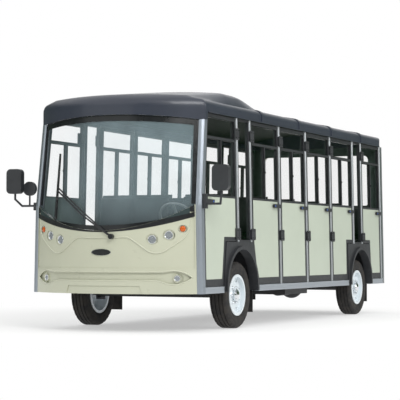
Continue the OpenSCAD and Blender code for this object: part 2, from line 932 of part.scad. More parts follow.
// Plain battery block between the rails and a box outboard of each rail.
pack_s = 3250;
pack_l = 1650;
pack_z = 300;
pack_half = rail_y - rail_half_w - 5;
side_box_in = rail_y + rail_half_w + 30;
side_box_out = half_w - 110;
side_box_s = 3200;
side_box_l = 720;
side_box_z = 310;
module battery_pack() {
    color([0.1, 0.1, 0.1]) {
        translate([x_at(pack_s), -pack_half, pack_z])
            cube([pack_l, 2 * pack_half, floor_z - pack_z]);
        for (y = [side_box_in, -side_box_out])
            translate([x_at(side_box_s), y, side_box_z])
                cube([side_box_l, side_box_out - side_box_in, floor_z - side_box_z]);
    }
}

// Plain motor drum on the axle's pinion nose.
motor_r = 108;
module drive_motor() {
    color([0.2, 0.2, 0.2])
    translate([x_at(rear_axle_s - 190), 0, tyre_r])
        rotate([0, 90, 0])
            cylinder(r = motor_r, h = 300);
}

// Front axle beam with spring seats and an upright bore at each end for the kingpin.
spring_z = 388;
boss_r = 34;
kingpin_r = 15;
boss_h = 84;
module front_axle() {
    color([0.1, 0.1, 0.1])
    difference() {
        union() {
            translate([x_at(front_axle_s) - 34, -kingpin_y, tyre_r - 30])
                cube([68, 2 * kingpin_y, 60]);
            for (side = [-1, 1]) {
                translate([x_at(front_axle_s) - 60, side * rail_y - 34, tyre_r - 20])
                    cube([120, 68, spring_z - tyre_r + 20]);
                translate([x_at(front_axle_s), side * kingpin_y, tyre_r - boss_h / 2])
                    cylinder(r = boss_r, h = boss_h);
            }
        }
        for (side = [-1, 1])
            translate([x_at(front_axle_s), side * kingpin_y, 0])
                cylinder(r = kingpin_r + pin_gap, h = 1000);
    }
}

// Rear axle tube with its round gear case, spring seats and a stub through each wheel.
stub_r = 20;
module rear_axle() {
    color([0.1, 0.1, 0.1]) {
        translate([x_at(rear_axle_s), -wheel_y + 40, tyre_r])
            rotate([-90, 0, 0])
                cylinder(r = 40, h = 2 * wheel_y - 80);
        translate([x_at(rear_axle_s), -wheel_y - 62, tyre_r])
            rotate([-90, 0, 0])
                cylinder(r = stub_r, h = 2 * wheel_y + 124);
        translate([x_at(rear_axle_s), 0, tyre_r])
            sphere(r = 150);
        translate([x_at(rear_axle_s), 0, tyre_r])
            rotate([0, 90, 0])
                cylinder(r = 70, h = 190);
        for (side = [-1, 1])
            translate([x_at(rear_axle_s) - 60, side * rail_y - 34, tyre_r - 20])
                cube([120, 68, spring_z - tyre_r + 20]);
    }
}

// A pack of three leaves under each rail, with a hanger at each end.
LEAVES = [460, 680, 900];
leaf_t = 10;
module leaf_springs() {
    color([0.12, 0.12, 0.12])
    for (side = [-1, 1], s = [front_axle_s, rear_axle_s])
        translate([x_at(s), side * rail_y, spring_z]) {
            for (i = [0 : 2])
                translate([-LEAVES[i] / 2, -30, i * leaf_t])
                    cube([LEAVES[i], 60, leaf_t]);
            for (e = [-1, 1])
                translate([e * (LEAVES[2] / 2 - 30) - 30, -30, 2 * leaf_t])
                    cube([60, 60, rail_z0 - spring_z - 2 * leaf_t]);
        }
}

// Steering knuckle: two lugs on the kingpin, a web between them and the wheel's stub.
lug_gap = 1;
lug_t = 20;
module knuckle(side) {
    color([0.2, 0.2, 0.2])
    mirror([0, side < 0 ? 1 : 0, 0])
        translate([x_at(front_axle_s), kingpin_y, tyre_r]) {
            translate([0, 0, -boss_h / 2 - lug_gap - lug_t])
                cylinder(r = kingpin_r, h = boss_h + 2 * (lug_gap + lug_t));
            for (z = [-boss_h / 2 - lug_gap - lug_t, boss_h / 2 + lug_gap]) {
                translate([0, 0, z])
                    cylinder(r = boss_r, h = lug_t);
                translate([-boss_r, 0, z])
                    cube([2 * boss_r, boss_r + 26, lug_t]);
            }
            translate([-boss_r, boss_r + 6, -boss_h / 2 - lug_gap - lug_t])
                cube([2 * boss_r, 20, boss_h + 2 * (lug_gap + lug_t)]);
            translate([0, boss_r + 6, 0])
                rotate([-90, 0, 0])
                    cylinder(r = stub_r, h = wheel_y - kingpin_y + 62 - boss_r - 6);
        }
}

// Tyre: round shoulders and sidewalls, open at the bead.
bead_r = rim_d / 2;
flange_r = bead_r + 19;
shoulder_r = 30;
module tyre(x, side) {
    half_t = tyre_w / 2;
    color([0.06, 0.06, 0.06])
    translate([x, side * wheel_y, tyre_r])
        rotate([90, 0, 0])
            rotate_extrude($fn = 96)
                difference() {
                    union() {
                        translate([flange_r + 4, -half_t])
                            square([tyre_r - shoulder_r - flange_r - 4, tyre_w]);
                        translate([flange_r + 4, -half_t + shoulder_r])
                            square([tyre_r - flange_r - 4, tyre_w - 2 * shoulder_r]);
                        for (y = [-1, 1])
                            translate([tyre_r - shoulder_r, y * (half_t - shoulder_r)])
                                circle(r = shoulder_r, $fn = 32);
                        translate([bead_r + fit_gap, -rim_half + 8 + fit_gap])
                            square([flange_r + 8 - bead_r, 2 * (rim_half - 8 - fit_gap)]);
                    }
                    translate([bead_r - 10, -half_t + 30])
                        square([tyre_r - 26 - bead_r + 10, tyre_w - 60]);
                }
}

// Steel rim: flanged barrel, dished disc with round holes, hub and bore.
rim_half = 86;
disc_y = 34;
disc_t = 12;
hub_r = 62;
module rim(x, side) {
    color([0.85, 0.9, 0.93])
    translate([x, side * wheel_y, tyre_r])
        rotate([side > 0 ? -90 : 90, 0, 0])
            difference() {
                union() {
                    difference() {
                        union() {
                            cylinder(r = bead_r, h = 2 * rim_half, center = true, $fn = 96);
                            for (z = [-rim_half, rim_half - 8])
                                translate([0, 0, z])
                                    cylinder(r = flange_r, h = 8, $fn = 96);
                        }
                        cylinder(r = bead_r - 9, h = 3 * rim_half, center = true, $fn = 96);
                    }
                    difference() {
                        translate([0, 0, disc_y])
                            cylinder(r = bead_r - 4, h = disc_t);
                        for (i = [0 : 7])
                            rotate([0, 0, 22.5 + 45 * i])
                                translate([150, 0, 0])
                                    cylinder(r = 15, h = 100, $fn = 24);
                    }
                    translate([0, 0, -10])
                        cylinder(r = hub_r - 10, h = disc_y + 20);
                    translate([0, 0, disc_y])
                        cylinder(r = hub_r, h = 42);
                }
                translate([0, 0, -200])
                    cylinder(r = stub_r + pin_gap, h = 200 + 64);
            }
}

// Rear wall between the last posts, with its window cut out.
rear_glass_half = half_w - 210;
rear_glass_low = [-rear_glass_half, belt_z + 50];
rear_glass_high = [rear_glass_half, door_top_z - 100];
rear_glass_r = 60;
module rear_panel() {
    top = roof_base_z;
    color([0.82, 0.82, 0.70])
    difference() {
        along_x(x_at(rear_end_s), x_at(rear_end_s) + rear_skin_t)
            polygon([[-half_w, sill_z], [half_w, sill_z], [wall_half(top), top], [-wall_half(top), top]]);
        along_x(x_at(rear_end_s) - 1, x_at(rear_end_s) + rear_skin_t + 1)
            round_rect(rear_glass_low, rear_glass_high, rear_glass_r);
    }
}

// Frames of the fixed bays over the wheels.
FIXED_BAYS = [[post_b, post_c], [post_g, post_h]];
bay_rim = 20;
function bay_box(b, inset) = [
    [x_at(b[1]) + post_d / 2 + 1 + inset, arch_top_z + inset],
    [x_at(b[0]) - post_d / 2 - 1 - inset, door_top_z + door_gap - 1 - inset]
];
module box_outline(box) {
    translate(box[0])
        square(box[1] - box[0]);
}
module bay_frames() {
    color([0.10, 0.10, 0.11])
    for (side = [-1, 1], b = FIXED_BAYS)
        on_side(side)
            plate(door_face_y, door_t)
                difference() {
                    box_outline(bay_box(b, 0));
                    box_outline(bay_box(b, bay_rim));
                }
}

// Panes of the fixed bays and of the rear wall.
pane_depth = 14;
module fixed_glass() {
    play = [fit_gap, fit_gap];
    color([0.10, 0.15, 0.13, 0.6]) {
        for (side = [-1, 1], b = FIXED_BAYS)
            on_side(side)
                plate(door_face_y - pane_depth, glass_t)
                    box_outline(bay_box(b, bay_rim + fit_gap));
        along_x(x_at(rear_end_s) + 16, x_at(rear_end_s) + 16 + glass_t)
            round_rect(rear_glass_low + play, rear_glass_high - play, rear_glass_r - fit_gap);
    }
}

// Seat rows: station of the front edge, lowest Y, highest Y
seat_half = half_w - 150;
front_seat_s = 620;
BENCH_STATIONS = [1600, 2445, 3290, 4135, 5190];
SEATS = concat(
    [[front_seat_s, spread(190), seat_half - 20], [front_seat_s, -seat_half, spread(90)]],
    [for (s = BENCH_STATIONS) [s, -seat_half, seat_half]]
);
seat_l = 430;
seat_z = 850;
pad_t = 100;
back_t = 85;
back_h = 560;
back_lean = 8;
seat_base_half = liner_y - 20;
module seat_frames() {
    color([0.14, 0.14, 0.15])
    for (r = SEATS) {
        low = max(r[1] + 40, -seat_base_half);
        high = min(r[2] - 40, seat_base_half);
        translate([x_at(r[0] + seat_l - 40), low, floor_z + floor_t])
            cube([seat_l - 110, high - low, seat_z - 20 - floor_z - floor_t]);
        translate([x_at(r[0] + seat_l + 60), r[1], seat_z - 20])
            cube([seat_l + 60, r[2] - r[1], 20]);
        translate([x_at(r[0] + seat_l), 0, seat_z])
            rotate([0, -back_lean, 0])
                translate([-30, r[1] + 30, -12])
                    cube([14, r[2] - r[1] - 60, back_h + 12]);
    }
}

// Bench cushions and backs.
module seat_pads() {
    color([0.10, 0.10, 0.11])
    for (r = SEATS) {
        translate([x_at(r[0] + seat_l - 70), r[1] + 6, seat_z])
            cube([seat_l - 80, r[2] - r[1] - 12, pad_t]);
        translate([x_at(r[0] + seat_l), 0, seat_z])
            rotate([0, -back_lean, 0])
                translate([-16, r[1] + 6, pad_t + 20])
                    cube([back_t - 14, r[2] - r[1] - 12, back_h - pad_t - 30]);
    }
}

// Dashboard behind the nose, its top, its rear wall and the steering column's housing.
dash_z0 = floor_z + floor_t;
dash_z1 = 985;
dash_rear_s = 200;
dash_half = half_w - 105;
wheel_s = 420;
wheel_mid_y = spread(470);
wheel_mid_z = 1130;
column_tilt = 52;
column_l = 330;
module dashboard() {
    color([0.16, 0.16, 0.16])
    difference() {
        union() {
            intersection() {
                translate([nose_axis_x, 0, dash_z0])
                    cylinder(r = nose_r - nose_t - 4, h = dash_z1 - dash_z0, $fn = 256);
                union() {
                    translate([x_at(dash_rear_s), -dash_half, dash_z1 - 60])
                        cube([700, 2 * dash_half, 60]);
                    translate([x_at(dash_rear_s), -dash_half, dash_z0])
                        cube([40, 2 * dash_half, dash_z1 - dash_z0]);
                }
            }
            translate([x_at(wheel_s), wheel_mid_y, wheel_mid_z])
                rotate([0, 180 - column_tilt, 0])
                    translate([0, 0, 40])
                        cylinder(r = 38, h = column_l);
        }
        translate([x_at(wheel_s), wheel_mid_y, wheel_mid_z])
            rotate([0, 180 - column_tilt, 0])
                cylinder(r = 12 + pin_gap, h = 160);
        translate([x_at(dash_rear_s) + 60, -2000, dash_z0 - 1])
            cube([900, 4000, dash_z1 - dash_z0 - 60]);
    }
}

// Steering wheel: rim, two spokes, hub and shaft.
module steering_wheel() {
    color([0.08, 0.08, 0.08])
    translate([x_at(wheel_s), wheel_mid_y, wheel_mid_z])
        rotate([0, -column_tilt, 0]) {
            rotate_extrude($fn = 48)
                translate([190, 0])
                    circle(r = 13, $fn = 24);
            for (a = [0, 120, 240])
                rotate([0, 0, a])
                    translate([0, -14, -6])
                        cube([186, 28, 12]);
            translate([0, 0, -34])
                cylinder(r = 40, h = 48);
            translate([0, 0, -150])
                cylinder(r = 12, h = 130);
        }
}

// A round rod between two points.
module rod(p, q, r) {
    v = q - p;
    length = norm(v);
    translate(p)
        rotate([0, acos(v[2] / length), atan2(v[1], v[0])])
            cylinder(r = r, h = length, $fn = 24);
}

// Mirrors on the corner posts: a base, a bent arm and a head; a round wide-angle mirror on the right.
mirror_y = half_w + 208;
head_w = 175;
head_h = 255;
head_t = 66;
head_z = 1513;
head_r = 46;
arm_r = 11;
arm_z = 1262;
arm_s = 14;
head_s = -60;
round_arm_y = mirror_y - 130;
round_r = 73;
module mirror_set(side) {
    arm_x = x_at(arm_s);
    head_x = x_at(head_s);
    head_mid = [mirror_y, head_z];
    shoulder = [arm_x, mirror_y - 40, arm_z];
    elbow = [head_x, mirror_y, arm_z + 68];
    on_side(side)
        translate([x_at(corner_rear_s - 2), 0, arm_z - 47])
            cube([40, 42, side > 0 ? 146 : 80]);
    mirror([0, side < 0 ? 1 : 0, 0]) {
        rod([arm_x, wall_half(arm_z) + 20, arm_z], shoulder, arm_r);
        rod(shoulder, elbow, arm_r);
        rod(elbow, [head_x, mirror_y, head_z - head_h / 2 + 20], arm_r);
        for (p = [shoulder, elbow])
            translate(p)
                sphere(r = arm_r + 0.4, $fn = 24);
        along_x(head_x - head_t / 2, head_x + head_t / 2)
            round_rect(head_mid - [head_w, head_h] / 2, head_mid + [head_w, head_h] / 2, head_r);
        if (side < 0) {
            rod([arm_x, round_arm_y, arm_z], [arm_x, round_arm_y, arm_z + 138], arm_r - 2);
            translate([arm_x - 24, round_arm_y, arm_z + 178])
                rotate([0, 90, 0])
                    cylinder(r = round_r, h = 40);
        }
    }
}
module mirrors() {
    color([0.1, 0.1, 0.1]) {
        mirror_set(1);
        mirror_set(-1);
    }
}

// Wiper: pivot cap on the nose, two parallel rods and an upright blade ahead of the glass.
wiper_y = spread(120);
wiper_z = 940;
elbow_y = spread(-215);
elbow_z = 1190;
arm_gap_z = 34;
arm_rod_r = 8;
blade_rod_r = 10;
arm_out = 30;
elbow_out = 42;
pivot_r = 26;
blade_y = spread(-575);
blade_low_z = 1110;
blade_high_z = 1780;
blade_joint_z = 1440;
function glass_x(y, z) =
    nose_axis_x - nose_r * (1 / cos(front_rake) - 1) + sqrt(nose_r * nose_r - y * y) / cos(front_rake)
    - (z - rake_z) * tan(front_rake) - shield_inset;
function ahead(y, z, out) = [glass_x(y, z) + out, y, z];

// A rod along the blade between two pairs of height and distance from the glass.
module blade_rod(low, high) {
    rod(ahead(blade_y, low[0], low[1]), ahead(blade_y, high[0], high[1]), blade_rod_r);
}
module wiper() {
    foot_y = wiper_y - pivot_r;
    foot_x = nose_axis_x + sqrt(nose_r * nose_r - foot_y * foot_y) + 0.1;
    tip_x = front_x + nose_bow + wiper_out;
    color([0.08, 0.08, 0.08]) {
        translate([foot_x, wiper_y, wiper_z])
            rotate([0, 90, 0])
                cylinder(r = pivot_r, h = tip_x - foot_x);
        for (k = [0, 1]) {
            elbow = ahead(elbow_y, elbow_z - k * arm_gap_z, elbow_out);
            rod([tip_x - 12, wiper_y + k * 14, wiper_z - k * 12], elbow, arm_rod_r);
            rod(elbow, ahead(blade_y, blade_joint_z - k * arm_gap_z, arm_out), arm_rod_r);
            translate(elbow)
                sphere(r = arm_rod_r + 0.3, $fn = 24);
        }
        blade_rod([blade_joint_z - 60, arm_out], [blade_joint_z + 30, arm_out]);
        blade_rod([blade_low_z, arm_out + 6], [blade_high_z, arm_out - 8]);
    }
}

chassis_frame();
floor_deck();
battery_pack();
drive_motor();
front_axle();
rear_axle();
leaf_springs();
front_fascia();
windshield();
corner_posts();
side_posts();
side_sills();
roof_panel();
roof_cowl();
rear_panel();
fixed_glass();
bay_frames();
wheel_arches();
mud_flaps();
seat_frames();
seat_pads();
dashboard();
mirrors();
wiper();
lamps();
steering_wheel();
knuckle(1);  // knuckle_l
knuckle(-1);  // knuckle_r
door(1, DOORS[0]);  // door_l1
door_glass(1, DOORS[0]);  // glass_l1
door(1, DOORS[1]);  // door_l2
door_glass(1, DOORS[1]);  // glass_l2
door(1, DOORS[2]);  // door_l3
door_glass(1, DOORS[2]);  // glass_l3
door(1, DOORS[3]);  // door_l4
door_glass(1, DOORS[3]);  // glass_l4
door(1, DOORS[4]);  // door_l5
door_glass(1, DOORS[4]);  // glass_l5
door(1, DOORS[5]);  // door_l6
door_glass(1, DOORS[5]);  // glass_l6
door(-1, DOORS[0]);  // door_r1
door_glass(-1, DOORS[0]);  // glass_r1
door(-1, DOORS[1]);  // door_r2
door_glass(-1, DOORS[1]);  // glass_r2
door(-1, DOORS[2]);  // door_r3
door_glass(-1, DOORS[2]);  // glass_r3
door(-1, DOORS[3]);  // door_r4
door_glass(-1, DOORS[3]);  // glass_r4
door(-1, DOORS[4]);  // door_r5
door_glass(-1, DOORS[4]);  // glass_r5
door(-1, DOORS[5]);  // door_r6
door_glass(-1, DOORS[5]);  // glass_r6
tyre(x_at(front_axle_s), 1);  // tyre_fl
tyre(x_at(front_axle_s), -1);  // tyre_fr
tyre(x_at(rear_axle_s), 1);  // tyre_rl
tyre(x_at(rear_axle_s), -1);  // tyre_rr
rim(x_at(front_axle_s), 1);  // rim_fl
rim(x_at(front_axle_s), -1);  // rim_fr
rim(x_at(rear_axle_s), 1);  // rim_rl
rim(x_at(rear_axle_s), -1);  // rim_rr
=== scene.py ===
"""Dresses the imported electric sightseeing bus: materials, trim, lamps, treads, seats, camera and light."""

import math
from collections import namedtuple

import bmesh
import bpy
from mathutils import Matrix, Vector


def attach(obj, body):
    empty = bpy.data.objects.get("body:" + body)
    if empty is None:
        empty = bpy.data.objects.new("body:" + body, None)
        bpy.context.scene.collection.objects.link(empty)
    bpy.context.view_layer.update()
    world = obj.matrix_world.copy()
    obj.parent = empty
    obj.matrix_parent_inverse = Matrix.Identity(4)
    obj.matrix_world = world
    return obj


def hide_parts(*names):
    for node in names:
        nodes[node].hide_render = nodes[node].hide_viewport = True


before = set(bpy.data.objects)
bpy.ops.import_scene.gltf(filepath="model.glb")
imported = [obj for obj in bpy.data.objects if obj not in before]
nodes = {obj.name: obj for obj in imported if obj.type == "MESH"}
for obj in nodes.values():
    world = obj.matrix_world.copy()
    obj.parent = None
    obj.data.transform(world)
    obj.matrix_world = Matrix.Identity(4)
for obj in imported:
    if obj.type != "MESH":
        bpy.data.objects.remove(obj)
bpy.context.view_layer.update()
scene = bpy.context.scene


def arc_radius(half, rise):
    """Radius of an arc from half its width and its rise."""
    return (half ** 2 + rise ** 2) / (2 * rise)


# Main sizes of the part, in metres; stations run rearward from the front corner of the side wall
FRONT_X = 2.732
HALF_W = 0.950
SILL_Z = 0.378
BELT_Z = 1.340
DOOR_TOP = 2.170
DOOR_Z0 = 0.448
KNEE_Z = 1.250
LEAN = math.radians(1.15)
RAKE = math.radians(7.4)
RAKE_Z = 1.0
NOSE_BOW = 0.360
NOSE_R = arc_radius(HALF_W, NOSE_BOW)
NOSE_AXIS_X = FRONT_X + NOSE_BOW - NOSE_R
CORNER_DEPTH = 0.054
POST_SEAM = 0.0004
REAR_S = 5.850
TYRE_R = 0.344
WHEEL_Y = 0.805
FRONT_AXLE_S = 0.985
REAR_AXLE_S = 4.895
ARCH_TOP = 0.895
ARCH_BOTTOM = 0.385
HINGE_INSET = 0.025
DOOR_GAP = 0.006
DOOR_FACE = -0.012
DOOR_T = 0.038
FREE_EXTRA = 0.002
SIDES = ((1, "left"), (-1, "right"))


def x_at(s):
    return FRONT_X - s


def nose_half(z):
    """Half the width of the nose between the corner posts."""
    return HALF_W - CORNER_DEPTH - POST_SEAM - (z - SILL_Z) * math.tan(LEAN)


def arch(r, top, y):
    return top - r + math.sqrt(r * r - y * y)


def sag(r, bottom, y):
    return bottom + r - math.sqrt(r * r - y * y)


def spread_between(low, high, steps):
    return [low + (high - low) * k / steps for k in range(steps + 1)]


# Node helpers for materials


def new_material(name):
    mat = bpy.data.materials.new(name)
    mat.use_nodes = True
    nt = mat.node_tree
    return mat, nt, nt.nodes["Principled BSDF"]


def feed(nt, inputs, values):
    """Links the sockets among values to a node's inputs and sets the other values."""
    for key, value in values.items():
        if isinstance(value, bpy.types.NodeSocket):
            nt.links.new(value, inputs[key])
        else:
            inputs[key].default_value = value


def node(nt, kind, values, **settings):
    """Adds a shader node and gives back its outputs."""
    made = nt.nodes.new("ShaderNode" + kind)
    for key, value in settings.items():
        setattr(made, key, value)
    feed(nt, made.inputs, values)
    return made.outputs


def object_coord(nt):
    return node(nt, "TexCoord", {})["Object"]


def noise(nt, scale, detail=4.0, rough=0.55, stretch=None):
    """Noise in the piece's own frame, drawn out along some axes by stretch."""
    coord = object_coord(nt)
    if stretch:
        coord = node(nt, "Mapping", {"Vector": coord, "Scale": stretch})["Vector"]
    values = {"Vector": coord, "Scale": scale, "Detail": detail, "Roughness": rough}
    return node(nt, "TexNoise", values)["Fac"]


def ramp(nt, source, low, high):
    """A colour between two (position, colour) stops."""
    made = nt.nodes.new("ShaderNodeValToRGB")
    for stop, (position, color) in zip(made.color_ramp.elements, (low, high)):
        stop.position = position
        stop.color = (*color, 1)
    feed(nt, made.inputs, {"Fac": source})
    return made.outputs["Color"]


def level(nt, source, low, high):
    return node(nt, "MapRange", {"Value": source, "To Min": low, "To Max": high})["Result"]


def smooth_step(nt, source, edges, low=0.0):
    """Rises smoothly from low to one between two edges of source."""
    values = {"Value": source, "From Min": edges[0], "From Max": edges[1], "To Min": low}
    return node(nt, "MapRange", values, interpolation_type="SMOOTHSTEP")["Result"]


def bump(nt, bsdf, height, strength, distance):
    values = {"Height": height, "Strength": strength, "Distance": distance}
    feed(nt, bsdf.inputs, {"Normal": node(nt, "Bump", values)["Normal"]})


def shade(c, k):
    return tuple(min(1.0, v * k) for v in c)


def vary_color(nt, bsdf, source, color, low, high):
    """Base colour between two shades of color, each a (position, factor) pair."""
    stops = [(position, shade(color, factor)) for position, factor in (low, high)]
    feed(nt, bsdf.inputs, {"Base Color": ramp(nt, source, *stops)})


def vary_rough(nt, bsdf, source, low, high):
    feed(nt, bsdf.inputs, {"Roughness": level(nt, source, low, high)})


# Materials


def paint(name, color, rough=0.28, coat=0.6, orange_peel=0.015, vary=0.04):
    """Sprayed gloss paint with faint cloudiness and orange peel."""
    mat, nt, bsdf = new_material(name)
    vary_color(nt, bsdf, noise(nt, 1.6, 5), color, (0.3, 1 - vary), (0.7, 1 + vary))
    vary_rough(nt, bsdf, noise(nt, 9), rough - 0.05, rough + 0.08)
    feed(nt, bsdf.inputs, {"Coat Weight": coat, "Coat Roughness": 0.08})
    if orange_peel:
        bump(nt, bsdf, noise(nt, 240, 2), orange_peel, 0.001)
    return mat


def plastic(name, color, rough=0.5, grain=420, strength=0.15):
    """Moulded plastic or textured coating with a fine grain."""
    mat, nt, bsdf = new_material(name)
    vary_color(nt, bsdf, noise(nt, 6, 5), color, (0.3, 0.82), (0.72, 1.2))
    vary_rough(nt, bsdf, noise(nt, 22), rough - 0.1, rough + 0.12)
    bump(nt, bsdf, noise(nt, grain, 3), strength, 0.001)
    return mat


def metal(name, color, rough=0.3, stretch=(60, 60, 1.5), metallic=1.0):
    """Drawn or brushed metal, its lines along one direction."""
    mat, nt, bsdf = new_material(name)
    lines = noise(nt, 30, 6, 0.6, stretch)
    vary_color(nt, bsdf, lines, color, (0.3, 0.9), (0.7, 1.06))
    vary_rough(nt, bsdf, lines, rough - 0.06, rough + 0.1)
    feed(nt, bsdf.inputs, {"Metallic": metallic})
    bump(nt, bsdf, lines, 0.06, 0.0006)
    return mat


def glass(name, color, alpha, spread=None):
    """Thin glazing, see-through by alpha, which follows a faint film or the given spread of opacity."""
    mat, nt, bsdf = new_material(name)
    film = noise(nt, 3.5, 6)
    vary_color(nt, bsdf, film, color, (0.35, 0.85), (0.75, 1.25))
    vary_rough(nt, bsdf, noise(nt, 14, 5), 0.03, 0.08)
    source = spread(nt) if spread else film
    feed(nt, bsdf.inputs, {"Alpha": level(nt, source, *alpha), "Specular IOR Level": 0.6})
    mat.surface_render_method = "BLENDED"
    return mat


# Pale glass colour on the windshield, faint low down and on the bus's right, denser higher up and toward its
# left
OPACITY_ACROSS = (-0.85, 0.15)
OPACITY_RISE = (0.95, 1.40)


def windshield_opacity(nt):
    place = node(nt, "SeparateXYZ", {"Vector": object_coord(nt)})
    across = smooth_step(nt, place["Y"], OPACITY_ACROSS)
    rise = smooth_step(nt, place["Z"], OPACITY_RISE)
    return node(nt, "Math", {0: across, 1: rise}, operation="MULTIPLY")[0]


def lens(name, color, alpha):
    """Ribbed lamp lens."""
    mat, nt, bsdf = new_material(name)
    tint = noise(nt, 30, 3)
    vary_color(nt, bsdf, tint, color, (0.3, 0.85), (0.7, 1.1))
    vary_rough(nt, bsdf, tint, 0.06, 0.14)
    feed(nt, bsdf.inputs, {"Alpha": alpha})
    ribs = node(nt, "TexWave", {"Vector": object_coord(nt), "Scale": 60}, bands_direction="Y")["Fac"]
    bump(nt, bsdf, ribs, 0.35, 0.001)
    mat.surface_render_method = "BLENDED"
    return mat


def rubber(name, color, dust):
    """Tyre and flap rubber with dry dust in random patches."""
    mat, nt, bsdf = new_material(name)
    feed(nt, bsdf.inputs, {"Base Color": ramp(nt, noise(nt, 11, 6), (0.35, color), (0.8, dust))})
    vary_rough(nt, bsdf, noise(nt, 40), 0.68, 0.92)
    bump(nt, bsdf, noise(nt, 160), 0.25, 0.0015)
    return mat


def leather(name, color):
    """Dark upholstery with a pebbled grain."""
    mat, nt, bsdf = new_material(name)
    vary_color(nt, bsdf, noise(nt, 5, 5), color, (0.3, 0.8), (0.75, 1.3))
    cells = node(nt, "TexVoronoi", {"Vector": object_coord(nt), "Scale": 320})["Distance"]
    vary_rough(nt, bsdf, cells, 0.38, 0.6)
    bump(nt, bsdf, cells, 0.35, 0.0012)
    return mat


M = {
    "cream": paint("cream_front", (0.56, 0.57, 0.445)),
    "cream_side": paint("cream_side", (0.54, 0.59, 0.495), 0.34, 0.25, 0),
    "roof": paint("roof_black", (0.030, 0.036, 0.054), 0.36, 0.25, 0.05, 0.12),
    "frame": plastic("frame_black", (0.022, 0.022, 0.024), 0.5, 200, 0.12),
    "trim": plastic("trim_black", (0.026, 0.028, 0.032), 0.42),
    "jet": plastic("gloss_black", (0.014, 0.015, 0.017), 0.22, 300, 0.03),
    "alloy": metal("alloy", (0.42, 0.46, 0.52), 0.34, (60, 60, 1.5), 0.85),
    "post": metal("post_alloy", (0.44, 0.46, 0.48), 0.36, (60, 60, 1.5), 0.85),
    "alloy_x": metal("alloy_sill", (0.56, 0.60, 0.66), 0.36, (1.5, 60, 60), 0.85),
    "chrome": metal("chrome", (0.80, 0.82, 0.84), 0.10, (8, 8, 8)),
    "bowl": metal("lamp_bowl", (0.42, 0.45, 0.49), 0.22, (8, 8, 8)),
    "steel": metal("steel", (0.40, 0.41, 0.43), 0.38, (20, 20, 20)),
    "clear": glass("windshield_glass", (0.55, 0.72, 0.78), (0.035, 0.150), windshield_opacity),
    "tint": glass("tinted_glass", (0.010, 0.050, 0.016), (0.027, 0.047)),
    # Painted shade and reflection: a dark glossy colour for glass seen over the shaded dash, put on opaque
    # parts
    "shade": plastic("glass_look_painted_shade", (0.040, 0.056, 0.058), 0.12, 300, 0.02),
    "tyre": rubber("tyre_rubber", (0.012, 0.012, 0.013), (0.045, 0.038, 0.031)),
    "flap": rubber("flap_rubber", (0.010, 0.010, 0.011), (0.040, 0.036, 0.032)),
    "white": paint("wheel_white", (0.74, 0.80, 0.84), 0.3, 0.4, 0.05, 0.05),
    "motor": metal("cast_grey", (0.10, 0.10, 0.11), 0.55, (20, 20, 20), 0.6),
    "floor": plastic("floor_mat", (0.05, 0.05, 0.052), 0.7, 90, 0.5),
    "leather": leather("seat_leather", (0.022, 0.022, 0.026)),
    "lining": plastic("pale_lining", (0.07, 0.10, 0.09), 0.6, 140, 0.06),
    # Roof lining: dark, with its green a painted reflection of trees seen in the upper windows
    "ceiling_painted_reflection": plastic("roof_lining_painted_reflection", (0.006, 0.015, 0.008), 0.75, 140, 0.06),
    "lens": lens("clear_lens", (0.85, 0.88, 0.92), 0.14),
    "amber": lens("amber_lens", (0.66, 0.12, 0.012), 0.95),
    "red": lens("red_lens", (0.45, 0.012, 0.010), 0.85),
    "mirror": metal("mirror_glass", (0.72, 0.75, 0.78), 0.03, (4, 4, 4)),
    "grip": plastic("wheel_grip", (0.30, 0.32, 0.33), 0.4, 200, 0.05),
    "blue": plastic("blue_mark", (0.03, 0.12, 0.50), 0.35, 300, 0.05),
    # Lamp bulbs: painted near white as the glint at each lamp's centre
    "bulb_glint": plastic("lamp_core_painted_glint", (0.75, 0.76, 0.72), 0.3, 200, 0.05),
}

NODE_LOOKS = {
    "chassis_frame": "frame", "floor_deck": "floor", "battery_pack": "frame", "drive_motor": "motor",
    "front_axle": "frame", "rear_axle": "frame", "leaf_springs": "steel", "front_fascia": "cream",
    "windshield": "clear", "corner_posts": "alloy", "side_posts": "post", "side_sills": "alloy_x",
    "roof_panel": "roof", "roof_cowl": "roof", "rear_panel": "cream", "fixed_glass": "tint",
    "bay_frames": "trim", "wheel_arches": "trim", "mud_flaps": "flap", "seat_frames": "frame",
    "seat_pads": "leather", "dashboard": "trim", "mirrors": "trim", "wiper": "jet", "lamps": "lens",
    "steering_wheel": "grip", "knuckle_l": "motor", "knuckle_r": "motor",
}
GROUP_LOOKS = {"door": "trim", "glass": "tint", "tyre": "tyre", "rim": "white"}


def dress(obj, look):
    obj.data.materials.clear()
    obj.data.materials.append(M[look])


def smooth_by_angle(obj, degrees=32):
    """Shades curved faces smooth and keeps sharp edges, without moving a vertex."""
    obj.data.shade_smooth()
    limit = math.radians(degrees)
    bm = bmesh.new()
    bm.from_mesh(obj.data)
    flags = [len(e.link_faces) != 2 or e.calc_face_angle(3.2) > limit for e in bm.edges]
    bm.free()
    if "sharp_edge" not in obj.data.attributes:
        obj.data.attributes.new("sharp_edge", "BOOLEAN", "EDGE")
    obj.data.attributes["sharp_edge"].data.foreach_set("value", flags)


def repaint(obj, look, test):
    """Gives the faces for which test holds, by their corners and normal, a second material."""
    obj.data.materials.append(M[look])
    index = len(obj.data.materials) - 1
    turn = obj.matrix_world.to_3x3()
    for face in obj.data.polygons:
        corners = [obj.matrix_world @ obj.data.vertices[i].co for i in face.vertices]
        if test(corners, turn @ face.normal):
            face.material_index = index


for name, obj in nodes.items():
    dress(obj, NODE_LOOKS.get(name) or GROUP_LOOKS[name.split("_")[0]])


# Mesh helpers for new pieces


